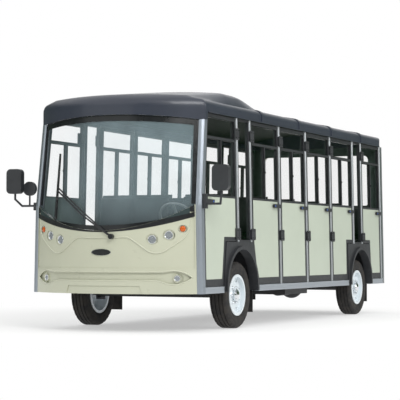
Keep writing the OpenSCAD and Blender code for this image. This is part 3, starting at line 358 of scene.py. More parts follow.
def piece(name, verts, faces, look, body, smooth=False, slot=None):
    mesh = bpy.data.meshes.new(name)
    mesh.from_pydata([tuple(v) for v in verts], [], faces)
    mesh.validate()
    bm = bmesh.new()
    bm.from_mesh(mesh)
    bmesh.ops.recalc_face_normals(bm, faces=bm.faces)
    bm.to_mesh(mesh)
    bm.free()
    obj = bpy.data.objects.new(name, mesh)
    scene.collection.objects.link(obj)
    dress(obj, look)
    if smooth:
        smooth_by_angle(obj)
    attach(obj, body)
    return obj


def bevel(obj, width, segments=2):
    mod = obj.modifiers.new("edge", "BEVEL")
    mod.width = width
    mod.segments = segments
    mod.limit_method = "ANGLE"
    mod.angle_limit = math.radians(40)
    mod.harden_normals = False


def around(r, a, h):
    return Vector((r * math.cos(a), r * math.sin(a), h))


def turns(steps):
    return [2 * math.pi * k / steps for k in range(steps)]


class Shape:
    """Collects vertices and faces of one piece."""

    def __init__(self):
        self.v = []
        self.f = []

    def sweep(self, loops, closed=False):
        """A skin through loops of equal length: bent into a ring, or closed by a face at each end."""
        base, n = len(self.v), len(loops[0])
        self.v.extend(Vector(p) for loop in loops for p in loop)
        rows = [range(base + k * n, base + k * n + n) for k in range(len(loops))]
        for loop, row in () if closed else ((loops[0], reversed(rows[0])), (loops[-1], rows[-1])):
            if loop[0] != loop[1]:
                self.f.append(tuple(row))
        for row, after in zip(rows, rows[1:] + rows[:1] if closed else rows[1:]):
            for i in range(n):
                j = (i + 1) % n
                self.f.append((row[i], row[j], after[j], after[i]))

    def box(self, low, high):
        (x0, y0, z0), (x1, y1, z1) = low, high
        corners = ((x0, y0), (x1, y0), (x1, y1), (x0, y1))
        self.sweep([[(x, y, z) for x, y in corners] for z in (z0, z1)])

    def lathe(self, profile, place, steps, closed=False):
        """Turns (radius, height) points, a line or a closed loop, about the local Z of place."""
        self.sweep([[place @ around(r, a, h) for a in turns(steps)] for r, h in profile], closed)

    def make(self, name, look, body, smooth=True, slot=None):
        return piece(name, self.v, self.f, look, body, smooth, slot)


def turned_piece(name, profile, place, steps, look, slot, body="chassis", closed=False):
    shape = Shape()
    shape.lathe(profile, place, steps, closed)
    return shape.make(name, look, body, slot=slot)


def frame_at(origin, axis):
    """A placement whose local Z points along axis."""
    return Matrix.Translation(Vector(origin)) @ Vector(axis).to_track_quat("Z", "Y").to_matrix().to_4x4()


# Side walls lean inward: drawing coordinates are x, distance out of the wall, height


def on_side(side, x, out, z):
    y = out * math.cos(LEAN) - (z - SILL_Z) * math.sin(LEAN)
    h = out * math.sin(LEAN) + (z - SILL_Z) * math.cos(LEAN)
    return Vector((x, side * (HALF_W + y), SILL_Z + h))


def out_of_wall(side):
    return on_side(side, 0, 1, 1) - on_side(side, 0, 0, 1)


def wall_prism(shape, side, outline, out0, out1):
    """A plate on the leaning wall from (x, z) points, between two distances out of it."""
    shape.sweep([[on_side(side, x, out, z) for x, z in outline] for out in (out0, out1)])


def side_block(side, x0, x1, out0, out1, z0, z1):
    shape = Shape()
    wall_prism(shape, side, [(x0, z0), (x1, z0), (x1, z1), (x0, z1)], out0, out1)
    return shape


# Door bays: stations of the posts, and the notched and hinged ends, 1 for the rear and -1 for the front
POST_A = 0.021
POST_B = 0.920
POST_C = 1.275
PITCH = 0.845
POST_D = POST_C + PITCH
POST_E = POST_C + 2 * PITCH
POST_F = POST_C + 3 * PITCH
POST_G = POST_C + 4 * PITCH
POST_H = POST_G + 0.330
POST_I = POST_H + 0.790
Arch = namedtuple("Arch", "axle top_front top_rear foot_front foot_rear")
ARCHES = [
    Arch(FRONT_AXLE_S, -0.388, 0.320, -0.476, 0.437),
    Arch(REAR_AXLE_S, -0.485, 0.371, -0.488, 0.412),
]
Door = namedtuple("Door", "front raked rear notch arch hinge")
DOORS = [
    Door(POST_A, True, POST_B, 1, ARCHES[0], 1),
    Door(POST_C, False, POST_D, -1, ARCHES[0], -1),
    Door(POST_D, False, POST_E, 0, None, -1),
    Door(POST_E, False, POST_F, 0, None, -1),
    Door(POST_F, False, POST_G, 1, ARCHES[1], -1),
    Door(POST_H, False, POST_I, -1, ARCHES[1], -1),
]


def each_door(build):
    for side, tag in ((1, "l"), (-1, "r")):
        for i, d in enumerate(DOORS):
            build(side, tag + str(i + 1), d)


def arch_edge(a, end, z):
    top, foot = (a.top_front, a.foot_front) if end < 0 else (a.top_rear, a.foot_rear)
    return a.axle + top + (foot - top) * (ARCH_TOP - z) / (ARCH_TOP - ARCH_BOTTOM)


def door_front(d, z):
    free = FREE_EXTRA if d.hinge > 0 else 0
    back = max(0, z - KNEE_Z) * math.tan(RAKE) if d.raked else 0
    return d.front + HINGE_INSET + free + back


def door_rear(d):
    return d.rear - HINGE_INSET - (FREE_EXTRA if d.hinge < 0 else 0)


def door_outline(d, inset, z0, z1):
    """A door's outline as (x, z) points, drawn in by inset."""
    shelf = ARCH_TOP + DOOR_GAP + inset
    gap = DOOR_GAP + FREE_EXTRA + inset
    f0 = x_at(door_front(d, z0) + inset)
    f1 = x_at(door_front(d, z1) + inset)
    r = x_at(door_rear(d) - inset)
    top = [(r, z1), (f1, z1)]
    if d.notch == 0:
        return [(f0, z0), (r, z0)] + top
    if d.notch < 0:
        return [
            (f0, shelf), (x_at(arch_edge(d.arch, 1, shelf) + gap), shelf),
            (x_at(arch_edge(d.arch, 1, z0) + gap), z0), (r, z0),
        ] + top
    points = [
        (f0, z0), (x_at(arch_edge(d.arch, -1, z0) - gap), z0),
        (x_at(arch_edge(d.arch, -1, shelf) - gap), shelf), (r, shelf),
    ] + top
    if d.raked and z1 > KNEE_Z:
        points.append((f0, KNEE_Z))
    return points


# Painted skins on the door panels

PANEL_RIM = 0.042
PANEL_FOOT = DOOR_Z0 + PANEL_RIM + 0.028
PANEL_SEAM = 0.0005
PANEL_OUT = (DOOR_FACE - 0.0039, DOOR_FACE - 0.0004)


def door_panel(side, tag, d):
    skin = Shape()
    outline = door_outline(d, PANEL_RIM + PANEL_SEAM, PANEL_FOOT + PANEL_SEAM, BELT_Z - PANEL_SEAM)
    wall_prism(skin, side, outline, *PANEL_OUT)
    panel = skin.make("panel_" + tag, "cream_side", "door_" + tag, smooth=False, slot="cream_paint")
    bevel(panel, 0.0022, 3)


each_door(door_panel)


# Black hinge covers on both sides of each hinge, and a small mark on each handle

HINGE_Z = (0.975, 2.010)
HINGE_HALF = 0.060
HINGE_EDGE = 0.0525
PIN_SHIFT = 0.004
LEAF_REACH = (0.010, 0.062)
LEAF_OUT = (DOOR_FACE + 0.0003, 0.008)
POST_REACH = (0.0095, 0.046)
POST_OUT = (-0.004, 0.010)
BOLT_STEP = 0.038
BOLT_PROFILE = [(0.008, -0.0005), (0.008, 0.002), (0.0055, 0.0038), (0.0, 0.0042)]
HANDLE_Z = 1.292
HANDLE_L = 0.190
HANDLE_FACE = DOOR_FACE + 0.030
MARK_HALF = 0.009
MARK_OUT = (HANDLE_FACE - 0.0005, HANDLE_FACE + 0.001)
MARK_FROM_END = 0.015


def wall_height(point):
    """Height along the leaning wall of a point in the part's frame."""
    return SILL_Z - (abs(point.y) - HALF_W) * math.sin(LEAN) + (point.z - SILL_Z) * math.cos(LEAN)


def on_hinge(corners, normal):
    heights = [wall_height(p) for p in corners]
    return any(max(abs(h - z) for h in heights) < HINGE_EDGE for z in HINGE_Z)


repaint(nodes["side_posts"], "trim", on_hinge)
repaint(nodes["rear_panel"], "post", lambda corners, normal: abs(normal.y) > 0.9)
repaint(nodes["rear_panel"], "lining", lambda corners, normal: normal.x > 0.9)
# The roof's underside: dark lining with a painted green tree reflection
repaint(nodes["roof_panel"], "ceiling_painted_reflection", lambda corners, normal: normal.z < -0.2)


def hinge_half(name, side, body, x0, x1, out, z):
    block = side_block(side, x0, x1, *out, z - HINGE_HALF, z + HINGE_HALF)
    bevel(block.make("hinge_" + name, "trim", body, smooth=False, slot="trim_black"), 0.005, 3)
    bolts = Shape()
    for step in (-BOLT_STEP, BOLT_STEP):
        spot = on_side(side, (x0 + x1) / 2, out[1], z + step)
        bolts.lathe(BOLT_PROFILE, frame_at(spot, out_of_wall(side)), 16)
    bolts.make("hinge_bolts_" + name, "jet", body, slot="trim_black")


def hinge_covers(side, tag, d):
    toward_post = -d.hinge
    post = d.front if d.hinge < 0 else d.rear
    axis_x = x_at(post) - toward_post * (HINGE_INSET - PIN_SHIFT)
    for k, z in enumerate(HINGE_Z):
        for name, body, way, reach, out in (
            ("leaf", "door_" + tag, -toward_post, LEAF_REACH, LEAF_OUT),
            ("cover", "chassis", toward_post, POST_REACH, POST_OUT),
        ):
            x0, x1 = sorted(axis_x + way * r for r in reach)
            hinge_half(f"{name}_{tag}_{k + 1}", side, body, x0, x1, out, z)
    free_x = x_at(door_rear(d)) if d.hinge < 0 else x_at(door_front(d, BELT_Z))
    mark_x = free_x + toward_post * (HANDLE_L - MARK_FROM_END)
    mark = side_block(side, mark_x - MARK_HALF, mark_x + MARK_HALF, *MARK_OUT,
                      HANDLE_Z - MARK_HALF, HANDLE_Z + MARK_HALF)
    made = mark.make("handle_mark_" + tag, "blue", "door_" + tag, smooth=False, slot="trim_black")
    bevel(made, 0.0006, 1)


each_door(hinge_covers)


# Windshield border over the edge of the glass

SHIELD_LOW = 1.0
SHIELD_SAG = 0.255
SHIELD_FOOT = SHIELD_LOW + SHIELD_SAG
SHIELD_HEAD = 2.100
SHIELD_RISE = 0.050
SAG_R = arc_radius(nose_half(SHIELD_FOOT), SHIELD_SAG)
HEAD_HALF = nose_half(SHIELD_HEAD)
HEAD_R = arc_radius(HEAD_HALF, SHIELD_RISE)
GLASS_DEPTH = 0.006

# The border's lower edge is flatter than the glass and runs over the nose's upper corners
APRON_LOW = 0.984
APRON_FOOT = 1.137
APRON_HALF = nose_half(APRON_FOOT)
APRON_R = arc_radius(APRON_HALF, APRON_FOOT - APRON_LOW)
BORDER_MID = 0.066
BORDER_END = 0.046
BORDER_HEAD = 0.062
BORDER_SIDE = 0.042
BORDER_T = 0.0027
BORDER_GAP = 0.003
HEAD_GAP = 0.004
FOOT_GAP = 0.007
CORNER_GAP = 0.005
HAIR = 0.0002
OVER_GLASS = 0.003
OVER_NOSE = 0.0015
SEAM = 0.0015
TIP = 0.006


def glass_x(y, z, depth):
    axis = NOSE_AXIS_X - NOSE_R * (1 / math.cos(RAKE) - 1)
    r = NOSE_R - depth
    return axis + math.sqrt(r * r - y * y) / math.cos(RAKE) - (z - RAKE_Z) * math.tan(RAKE)


def shield_low(y):
    return sag(SAG_R, SHIELD_LOW, y)


def shield_y(z):
    """Half the width of the glass at a height near its lower edge."""
    return math.sqrt(SAG_R ** 2 - (SHIELD_LOW + SAG_R - z) ** 2)


def shield_high(y):
    return arch(HEAD_R, SHIELD_HEAD + SHIELD_RISE, y)


def apron_low(y):
    return sag(APRON_R, APRON_LOW, y)


def apron_high(y):
    return apron_low(y) + BORDER_MID + (BORDER_END - BORDER_MID) * (y / APRON_HALF) ** 2


def on_glass(y, z, depth):
    return Vector((glass_x(y, z, GLASS_DEPTH - OVER_GLASS + depth), y, z))


def on_nose(y, z, depth):
    return Vector((NOSE_AXIS_X + math.sqrt((NOSE_R + OVER_NOSE - depth) ** 2 - y * y), y, z))


def border_strip(name, pairs, surface, look="jet", slot="trim_black"):
    """A thin band on the glass or the nose between pairs of (y, z) points."""
    section = ((0, 0.0), (1, 0.0), (1, BORDER_T), (0, BORDER_T))
    band = Shape()
    band.sweep([[surface(*pair[i], depth) for i, depth in section] for pair in pairs])
    band.make(name, look, "chassis", slot=slot)


def upright_pairs(ys, low, high, side=1):
    return [((side * y, low(y)), (side * y, high(y))) for y in ys]


def level_pairs(zs, inner, side):
    return [((side * inner(z), z), (side * (nose_half(z) - BORDER_GAP), z)) for z in zs]


def windshield_border():
    mid_half = next(y for y in spread_between(0, APRON_HALF, 200) if apron_high(y) < shield_low(y) + TIP)
    apron_ys = spread_between(BORDER_GAP - APRON_HALF, APRON_HALF - BORDER_GAP, 40)
    head_ys = spread_between(HEAD_GAP - HEAD_HALF, HEAD_HALF - HEAD_GAP, 40)
    corner_ys = spread_between(mid_half + TIP, APRON_HALF - BORDER_SIDE, 20)
    shield_zs = spread_between(SHIELD_FOOT + FOOT_GAP, SHIELD_HEAD - HEAD_GAP, 20)
    corner_zs = spread_between(APRON_FOOT + BORDER_END, SHIELD_FOOT - CORNER_GAP, 10)

    def glass_foot(y):
        return shield_low(y) + SEAM

    def nose_head(y):
        return shield_low(y) - SEAM

    def corner_edge(z):
        return max(nose_half(z) - BORDER_SIDE + HAIR, shield_y(z + SEAM))

    border_strip("apron_border", upright_pairs(
        apron_ys, apron_low, lambda y: min(apron_high(y), nose_head(y))), on_nose)
    border_strip("shield_border_low", upright_pairs(
        spread_between(-mid_half, mid_half, 40), glass_foot, apron_high), on_glass)
    border_strip("shield_border_high", upright_pairs(
        head_ys, lambda y: shield_high(y) - BORDER_HEAD, lambda y: shield_high(y) - BORDER_GAP), on_glass)
    for side, tag in SIDES:
        border_strip("shield_border_" + tag, level_pairs(
            shield_zs, lambda z: nose_half(z) - BORDER_SIDE, side), on_glass)
        # Opaque patches where the glass runs below the border: painted shade, the dark look of glass over
        # the shaded dash
        border_strip("apron_glass_" + tag, upright_pairs(
            corner_ys, lambda y: apron_high(y) + HAIR, nose_head, side), on_nose, "shade", "clear_glass")
        border_strip("apron_border_" + tag, level_pairs(corner_zs, corner_edge, side), on_nose)


windshield_border()
# The fascia's top edge under the glass: the same painted shade
repaint(nodes["front_fascia"], "shade",
        lambda corners, normal: normal.z > 0.4 and min(c.z for c in corners) > APRON_LOW)


# The roof's front: a moulded shell with a round front edge and a wide bulge between the roof's edges

ROOF_BASE = DOOR_TOP + DOOR_GAP
ROOF_CROWN = ROOF_BASE + 0.212
ROOF_HALF = HALF_W - math.tan(LEAN) * (ROOF_BASE - SILL_Z) + 0.008
ROOF_CROWN_R = arc_radius(HALF_W, 0.099)
ROOF_SIDE_R = 0.075
FLANK_Y = 0.85 * ROOF_HALF
CAP_REAR_S = 0.150
CAP_DEPTH_S = 0.420
COWL_REAR_S = 1.900
COWL_HALF = HALF_W - 0.105
CAP_R = NOSE_R + 0.016
CAP_Z = 2.125
CAP_AXIS_S = FRONT_X - NOSE_AXIS_X + (CAP_Z - RAKE_Z) * math.tan(RAKE)
EDGE_R = 0.130
EDGE_MID_Z = 2.232
BULGE_R = 7.5
BULGE_SHOULDER_R = 0.140
BULGE_FOOT = 2.374
BULGE_SLOPE = 0.115
BULGE_TOP = 2.474
BULGE_FALL = 0.100
FALL_S = (1.150, 1.950)
SHELL_T = 0.014
SHELL_GAP = 0.0006
LIP_HALF = 0.010
LIP_H = 0.012


def roof_edge(y):
    """Height of the plain roof at a distance from the centreline."""
    flat = ROOF_HALF - ROOF_SIDE_R
    over = abs(y) - flat
    if over <= 0:
        return arch(ROOF_CROWN_R, ROOF_CROWN, y)
    mid = arch(ROOF_CROWN_R, ROOF_CROWN, flat) - ROOF_SIDE_R
    return mid + math.sqrt(max(0, ROOF_SIDE_R ** 2 - over ** 2))


def bulge(s, y):
    """Height of the bulge at a station and a distance from the centreline."""
    t = min(1, max(0, (s - FALL_S[0]) / (FALL_S[1] - FALL_S[0])))
    top = min(BULGE_TOP, BULGE_FOOT + BULGE_SLOPE * s) - BULGE_FALL * t * t * (3 - 2 * t)
    flat = COWL_HALF - BULGE_SHOULDER_R
    over = max(0, abs(y) - flat)
    if over > BULGE_SHOULDER_R:
        return 0
    crown = arch(BULGE_R, top, min(abs(y), flat))
    return crown - BULGE_SHOULDER_R + math.sqrt(BULGE_SHOULDER_R ** 2 - over ** 2)


def shell_z(s, y):
    """Height of the moulded shell, limited by its round front edge."""
    rho = math.hypot(CAP_AXIS_S - s, y)
    high = bulge(s, y)
    if s >= CAP_DEPTH_S or abs(y) > FLANK_Y:
        high = max(high, roof_edge(y))
    if s < CAP_AXIS_S and rho > CAP_R - EDGE_R:
        over = min(EDGE_R, rho - CAP_R + EDGE_R)
        high = min(high, EDGE_MID_Z + math.sqrt(EDGE_R ** 2 - over ** 2))
    return high


def shell_row(y):
    """Points of the shell from its front foot rearward, as (station, height)."""
    front = CAP_AXIS_S - math.sqrt(CAP_R ** 2 - y * y)
    foot = SHIELD_HEAD - HAIR
    if abs(y) < HEAD_HALF:
        foot = max(foot, shield_high(y) + SHELL_GAP)
    low = min(EDGE_MID_Z, shell_z(front, y))
    wall = [(front, min(z, low)) for z in spread_between(foot, EDGE_MID_Z, 3)]
    stations = [front + EDGE_R * (1 - math.cos(math.radians(9 * k))) for k in range(1, 11)]
    stations += spread_between(stations[-1], CAP_DEPTH_S, 8)[1:]
    if abs(y) <= COWL_HALF + 1e-6:
        stations += spread_between(CAP_DEPTH_S, COWL_REAR_S, 40)[1:]
    return wall + [(s, shell_z(s, y)) for s in stations]


def shell_mesh():
    """Vertices and faces of the shell's outer skin with its side skirts."""
    half = spread_between(0, COWL_HALF, 24)
    half += [ROOF_HALF - ROOF_SIDE_R * (1 - math.sin(math.radians(a))) for a in (8, 20, 32, 45, 60, 75, 90)]
    ys = [-y for y in reversed(half[1:])] + half
    rows = [shell_row(y) for y in ys]
    verts, index, faces = [], {}, []
    for j, row in enumerate(rows):
        for i, (s, z) in enumerate(row):
            index[i, j] = len(verts)
            verts.append((x_at(s), ys[j], z))
    for j in range(len(rows) - 1):
        for i in range(min(len(rows[j]), len(rows[j + 1])) - 1):
            faces.append((index[i, j], index[i + 1, j], index[i + 1, j + 1], index[i, j + 1]))
    for j, side in ((0, -1), (len(rows) - 1, 1)):
        for i in range(len(rows[j]) - 1):
            ends = (rows[j][i][0], rows[j][i + 1][0])
            if ends[1] - ends[0] < 1e-6:
                continue
            base = len(verts)
            for s in ends:
                verts.append((x_at(s), side * ROOF_HALF, SHIELD_HEAD if s <= CAP_REAR_S else ROOF_BASE))
            faces.append((index[i, j], index[i + 1, j], base + 1, base))
    return verts, faces


def roof_shell():
    shell = piece("roof_shell", *shell_mesh(), "roof", "chassis", slot="roof_black")
    bm = bmesh.new()
    bm.from_mesh(shell.data)
    bmesh.ops.remove_doubles(bm, verts=bm.verts, dist=0.00005)
    bmesh.ops.recalc_face_normals(bm, faces=bm.faces)
    if sum(f.normal.z for f in bm.faces) < 0:
        bmesh.ops.reverse_faces(bm, faces=bm.faces)
    bm.to_mesh(shell.data)
    bm.free()
    # Its inside: dark lining with a painted green tree reflection
    shell.data.materials.append(M["ceiling_painted_reflection"])
    smooth_by_angle(shell, 38)
    skin = shell.modifiers.new("skin", "SOLIDIFY")
    skin.thickness = SHELL_T
    skin.offset = -1
    skin.material_offset = 1
    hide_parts("roof_cowl")


def front_gutters():
    for side, tag in SIDES:
        lip = Shape()
        lip.box((x_at(CAP_DEPTH_S), side * ROOF_HALF - LIP_HALF, ROOF_BASE),
                (x_at(CAP_REAR_S + LIP_HALF), side * ROOF_HALF + LIP_HALF, ROOF_BASE + LIP_H))
        made = lip.make("gutter_front_" + tag, "roof", "chassis", smooth=False, slot="roof_black")
        bevel(made, 0.002, 2)


roof_shell()
front_gutters()


# Rubber lip between the wiper's blade and the glass

BLADE_Y = -0.575
BLADE_Z = (1.115, 1.775)
LIP_T = 0.0025
LIP_OUT = (0.002, 0.016)


def wiper_lip():
    loops = []
    for y in (BLADE_Y - LIP_T, BLADE_Y + LIP_T):
        near = [Vector((glass_x(y, z, GLASS_DEPTH) + LIP_OUT[0], y, z)) for z in BLADE_Z]
        far = [Vector((glass_x(y, z, GLASS_DEPTH) + LIP_OUT[1], y, z)) for z in reversed(BLADE_Z)]
        loops.append(near + far)
    lip = Shape()
    lip.sweep(loops)
    lip.make("wiper_lip", "flap", "chassis", smooth=False, slot="flap_rubber")


wiper_lip()


# Mirror faces on the backs of the mirror heads

MIRROR_X = x_at(-0.060) - 0.033
MIRROR_Y = HALF_W + 0.208
MIRROR_Z = 1.513
MIRROR_HALF = (0.074, 0.114)
MIRROR_R = 0.034
WIDE_MIRROR = (x_at(0.014) - 0.024, -(MIRROR_Y - 0.130), 1.440)
WIDE_PROFILE = [(0.066, -0.0005), (0.066, 0.003), (0.045, 0.008), (0.022, 0.010), (0.0, 0.0106)]


def mirror_faces():
    for side, tag in SIDES:
        outline = []
        for cy, cz, a0 in ((1, 1, 0), (-1, 1, 90), (-1, -1, 180), (1, -1, 270)):
            for k in range(7):
                a = math.radians(a0 + 15 * k)
                outline.append((side * MIRROR_Y + cy * (MIRROR_HALF[0] - MIRROR_R) + MIRROR_R * math.cos(a),
                                MIRROR_Z + cz * (MIRROR_HALF[1] - MIRROR_R) + MIRROR_R * math.sin(a)))
        face = Shape()
        face.sweep([[(x, y, z) for y, z in outline] for x in (MIRROR_X + 0.0005, MIRROR_X - 0.002)])
        face.make("mirror_face_" + tag, "mirror", "chassis", smooth=False, slot="alloy")
    place = frame_at(WIDE_MIRROR, (-1, 0, 0))
    turned_piece("wide_mirror_face", WIDE_PROFILE, place, 40, "mirror", "alloy")


mirror_faces()


# Lamps: label, distance from the centreline, height, radius, depth of the pocket, lens, bulb inside
LAMPS = (
    ("inner_head", 0.512, 0.911, 0.046, 0.031, "lens", True),
    ("outer_head", 0.662, 0.953, 0.046, 0.031, "lens", True),
    ("turn", 0.780, 1.016, 0.030, 0.031, "amber", False),
    ("fog", 0.735, 0.531, 0.034, 0.033, "lens", True),
)
TURN_RISE = 0.011
TAIL_LAMPS = (("tail_low", 0.820, "red"), ("tail_mid", 0.935, "amber"), ("tail_top", 1.050, "lens"))
TAIL_Y = 0.790
TAIL_RIM = [(0.048, 0.0), (0.048, 0.006), (0.045, 0.008), (0.042, 0.006), (0.042, 0.0)]
TAIL_DOME = [(0.0415, 0.001), (0.0415, 0.005), (0.030, 0.0078), (0.0, 0.0082)]


def nose_point(y, z, depth=0.0):
    """A point on the upright nose, and the outward direction there."""
    n = Vector((math.sqrt(NOSE_R ** 2 - y * y) / NOSE_R, y / NOSE_R, 0))
    return Vector((NOSE_AXIS_X + n.x * NOSE_R, y, z)) - n * depth, n


def lamp(name, y, z, r, depth, look, with_bulb):
    """A lamp in its round pocket: painted collar, bright bezel and bowl, a near-white bulb that stands for
    the painted glint at its centre, and lens.
    """
    place = frame_at(*nose_point(y, z, depth))
    wide, narrow = r + 0.0075, r - 0.002
    collar = [(wide, 0.006), (wide, 0.027), (r + 0.004, 0.0275), (narrow, 0.020), (narrow, 0.006)]
    turned_piece(name + "_collar", collar, place, 48, "cream", "cream_paint", closed=True)
    rim = r - 0.003
    rise = TURN_RISE
    if with_bulb:
        rise = 0.0
        inner = rim - 0.007
        bezel = [(rim, 0.005), (rim, 0.022), (rim - 0.003, 0.026), (inner, 0.023), (inner, 0.005)]
        turned_piece(name + "_bezel", bezel, place, 48, "chrome", "alloy", closed=True)
        rim -= 0.0075
        bowl = [(rim, 0.017), (rim - 0.0035, 0.011), (r * 0.5, 0.004), (0.0, 0.002)]
        turned_piece(name + "_bowl", bowl, place, 48, "bowl", "alloy")
        # Painted glint: a near-white bulb, sized like the bright centre of the lamp
        core_r = 0.40 * r
        bulb_glint = [(core_r, 0.003), (core_r, 0.010), (0.7 * core_r, 0.014), (0.0, 0.0165)]
        turned_piece(name + "_core", bulb_glint, place, 24, "bulb_glint", "lamp_lens")
    dome = [(rim, 0.020), (rim - 0.003, 0.0235), (r * 0.62, 0.0265), (r * 0.33, 0.028), (0.0, 0.0285)]
    dome = [(rim, 0.006)] + [(radius, h + rise) for radius, h in dome]
    return turned_piece(name + "_lens", dome, place, 48, look, "lamp_lens")


for side, tag in SIDES:
    for label, y, *rest in LAMPS:
        lamp(f"{label}_{tag}", side * y, *rest)
    for label, z, look in TAIL_LAMPS:
        place = frame_at((x_at(REAR_S) + 0.0005, side * TAIL_Y, z), (-1, 0, 0))
        turned_piece(f"{label}_rim_{tag}", TAIL_RIM, place, 40, "chrome", "alloy", closed=True)
        turned_piece(f"{label}_lens_{tag}", TAIL_DOME, place, 40, look, "lamp_lens")
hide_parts("lamps")


# Rolled beads along the creases of the nose: round the lamp mask and along the lower groove

MASK_EDGE = [
    (0.0, 0.928), (0.150, 0.931), (0.250, 0.934), (0.300, 0.922), (0.372, 0.874), (0.470, 0.802),
    (0.520, 0.782), (0.548, 0.779), (0.575, 0.782), (0.625, 0.800), (0.760, 0.900), (0.815, 0.965),
    (0.840, 1.040), (0.846, 1.120),
]
GROOVE_Z = (0.506, 0.594)
GROOVE_YS = (0, 0.2, 0.4, 0.560)
EYE_Y = 0.700
EYE_R = 0.226
EYE_MID_Z = (0.696, 0.381)
EYE_SPAN_Y = (0.640, 0.858)
BEAD_R = 0.0075
BEAD_SINK = 0.0035
BEAD_UP = Vector((0.3, 0.2, 1)).normalized()
BEAD_STEPS = 10


def curve_through(points, parts):
    """A smooth curve through points, with the given number of parts between each two."""
    out = []
    for i in range(len(points) - 1):
        p0, p1, p2, p3 = (Vector(points[min(max(k, 0), len(points) - 1)]) for k in range(i - 1, i + 3))
        for k in range(parts):
            t = k / parts
            out.append(0.5 * (2 * p1 + (p2 - p0) * t + (2 * p0 - 5 * p1 + 4 * p2 - p3) * t * t
                              + (3 * p1 - p0 - 3 * p2 + p3) * t ** 3))
    return out + [Vector(points[-1])]


def nose_bead(name, half):
    """A round bead on the nose along a curve from the centreline, and along its mirror image."""
    points = [(-y, z) for y, z in reversed(half[1:])] + [(y, z) for y, z in half]
    path = [nose_point(y, z, BEAD_SINK)[0] for y, z in points]
    loops = []
    for before, spot, after in zip(path[:1] + path, path, path[1:] + path[-1:]):
        ahead = (after - before).normalized()
        side = ahead.cross(BEAD_UP).normalized()
        lift = side.cross(ahead)
        loops.append([spot + BEAD_R * (math.cos(g) * side + math.sin(g) * lift) for g in turns(BEAD_STEPS)])
    bead = Shape()
    bead.sweep(loops)
    bead.make(name, "cream", "chassis", slot="cream_paint")


def nose_beads():
    nose_bead("mask_bead", curve_through(MASK_EDGE, 6))
    for name, z, mid_z, way in zip(("groove_bead_low", "groove_bead_high"), GROOVE_Z, EYE_MID_Z, (-1, 1)):
        half = [(y, z) for y in GROOVE_YS]
        for y in spread_between(*EYE_SPAN_Y, 8):
            half.append((y, mid_z + way * math.sqrt(EYE_R ** 2 - (y - EYE_Y) ** 2)))
        nose_bead(name, curve_through(half, 4))


nose_beads()


# Tyres with ribs, shoulder blocks and sidewall rings, with wheel nuts and hub caps

TYRE_WALL = [
    (0.196, 0.077), (0.216, 0.0775), (0.2185, 0.080), (0.236, 0.0885), (0.240, 0.0905), (0.243, 0.0890),
    (0.268, 0.0945), (0.284, 0.0948), (0.288, 0.0932), (0.292, 0.0945), (0.306, 0.0940), (0.318, 0.0915),
    (0.328, 0.0870), (0.3365, 0.0790), (0.3400, 0.0720),
]
TYRE_INSIDE = [(0.215, -0.066), (0.318, -0.062), (0.318, 0.062), (0.215, 0.066)]
TREAD_R = 0.3435
GROOVE_R = 0.3345
GROOVES = (0.060, 0.021, -0.021, -0.060)
GROOVE_HALF = (0.0055, 0.0035)
NOTCH_R = (0.326, 0.3420)
NOTCH_FROM = 0.066
NOTCH_DEPTH = 0.0075
NOTCH_EVERY = 4
TYRE_STEPS = 120
NUTS = 6
NUT_CIRCLE_R = 0.088
DISC_FACE = 0.046
WASHER = [(0.017, 0.0002), (0.017, 0.003), (0.012, 0.004)]
NUT = [(0.0125, 0.0035), (0.0125, 0.016), (0.010, 0.019), (0.006, 0.0195), (0.006, 0.026), (0.0, 0.027)]
HUB_CAP = [(0.063, -0.002), (0.064, 0.020), (0.060, 0.032), (0.048, 0.0325), (0.044, 0.044), (0.0, 0.048)]


def tyre_loop():
    tread = []
    top, foot = GROOVE_HALF
    for g in GROOVES:
        tread += [(TREAD_R, g + top), (GROOVE_R, g + foot), (GROOVE_R, g - foot), (TREAD_R, g - top)]
    return TYRE_WALL + tread + [(r, -h) for r, h in reversed(TYRE_WALL)] + TYRE_INSIDE


def tyre_piece(tag, place):
    loop = tyre_loop()
    loops = []
    for k, a in enumerate(turns(TYRE_STEPS)):
        points = []
        for r, h in loop:
            cut = k % NOTCH_EVERY == 0 and NOTCH_R[0] < r < NOTCH_R[1] and abs(h) > NOTCH_FROM
            points.append(place @ around(r - NOTCH_DEPTH if cut else r, a, h))
        loops.append(points)
    shape = Shape()
    shape.sweep(loops, closed=True)
    tyre = shape.make("ribbed_tyre_" + tag, "tyre", "wheel_" + tag, slot="tyre_rubber")
    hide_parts("tyre_" + tag)


def wheel_trim(tag, place):
    nuts = Shape()
    for a in turns(NUTS):
        spot = place @ Matrix.Translation(around(NUT_CIRCLE_R, a, DISC_FACE))
        nuts.lathe(WASHER, spot, 24)
        nuts.lathe(NUT, spot, 6)
    nuts.make("wheel_nuts_" + tag, "chrome", "wheel_" + tag, slot="alloy")
    cap = [(r, DISC_FACE + h) for r, h in HUB_CAP]
    turned_piece("hub_cap_" + tag, cap, place, 48, "chrome", "alloy", "wheel_" + tag)


for end, s in (("f", FRONT_AXLE_S), ("r", REAR_AXLE_S)):
    for side, tag in SIDES:
        place = frame_at((x_at(s), side * WHEEL_Y, TYRE_R), (0, side, 0))
        tyre_piece(end + tag[0], place)
        wheel_trim(end + tag[0], place)


# Seat pads, swollen by a cloth simulation: station of the row's front, and its two ends across the bus

SEATS = [(0.620, 0.190, 0.780), (0.620, -0.800, 0.090)]
SEATS += [(s, -0.800, 0.800) for s in (1.600, 2.445, 3.290, 4.135, 5.190)]
SEAT_L = 0.430
SEAT_Z = 0.850
PAD_L = 0.350
PAD_T = 0.100
PAD_MID_S = 0.185
BACK_T = 0.071
BACK_H = 0.430
BACK_LIFT = 0.020
BACK_SET = 0.016
BACK_LEAN = math.radians(8)
PAD_GAP = 0.006
SEAM_PITCH = 0.4
SEAM_W = 0.012
SEAM_DEPTH = 0.012
SWELL_CAP = 0.014
SWELL_FRAMES = 20
VOXEL = 0.016


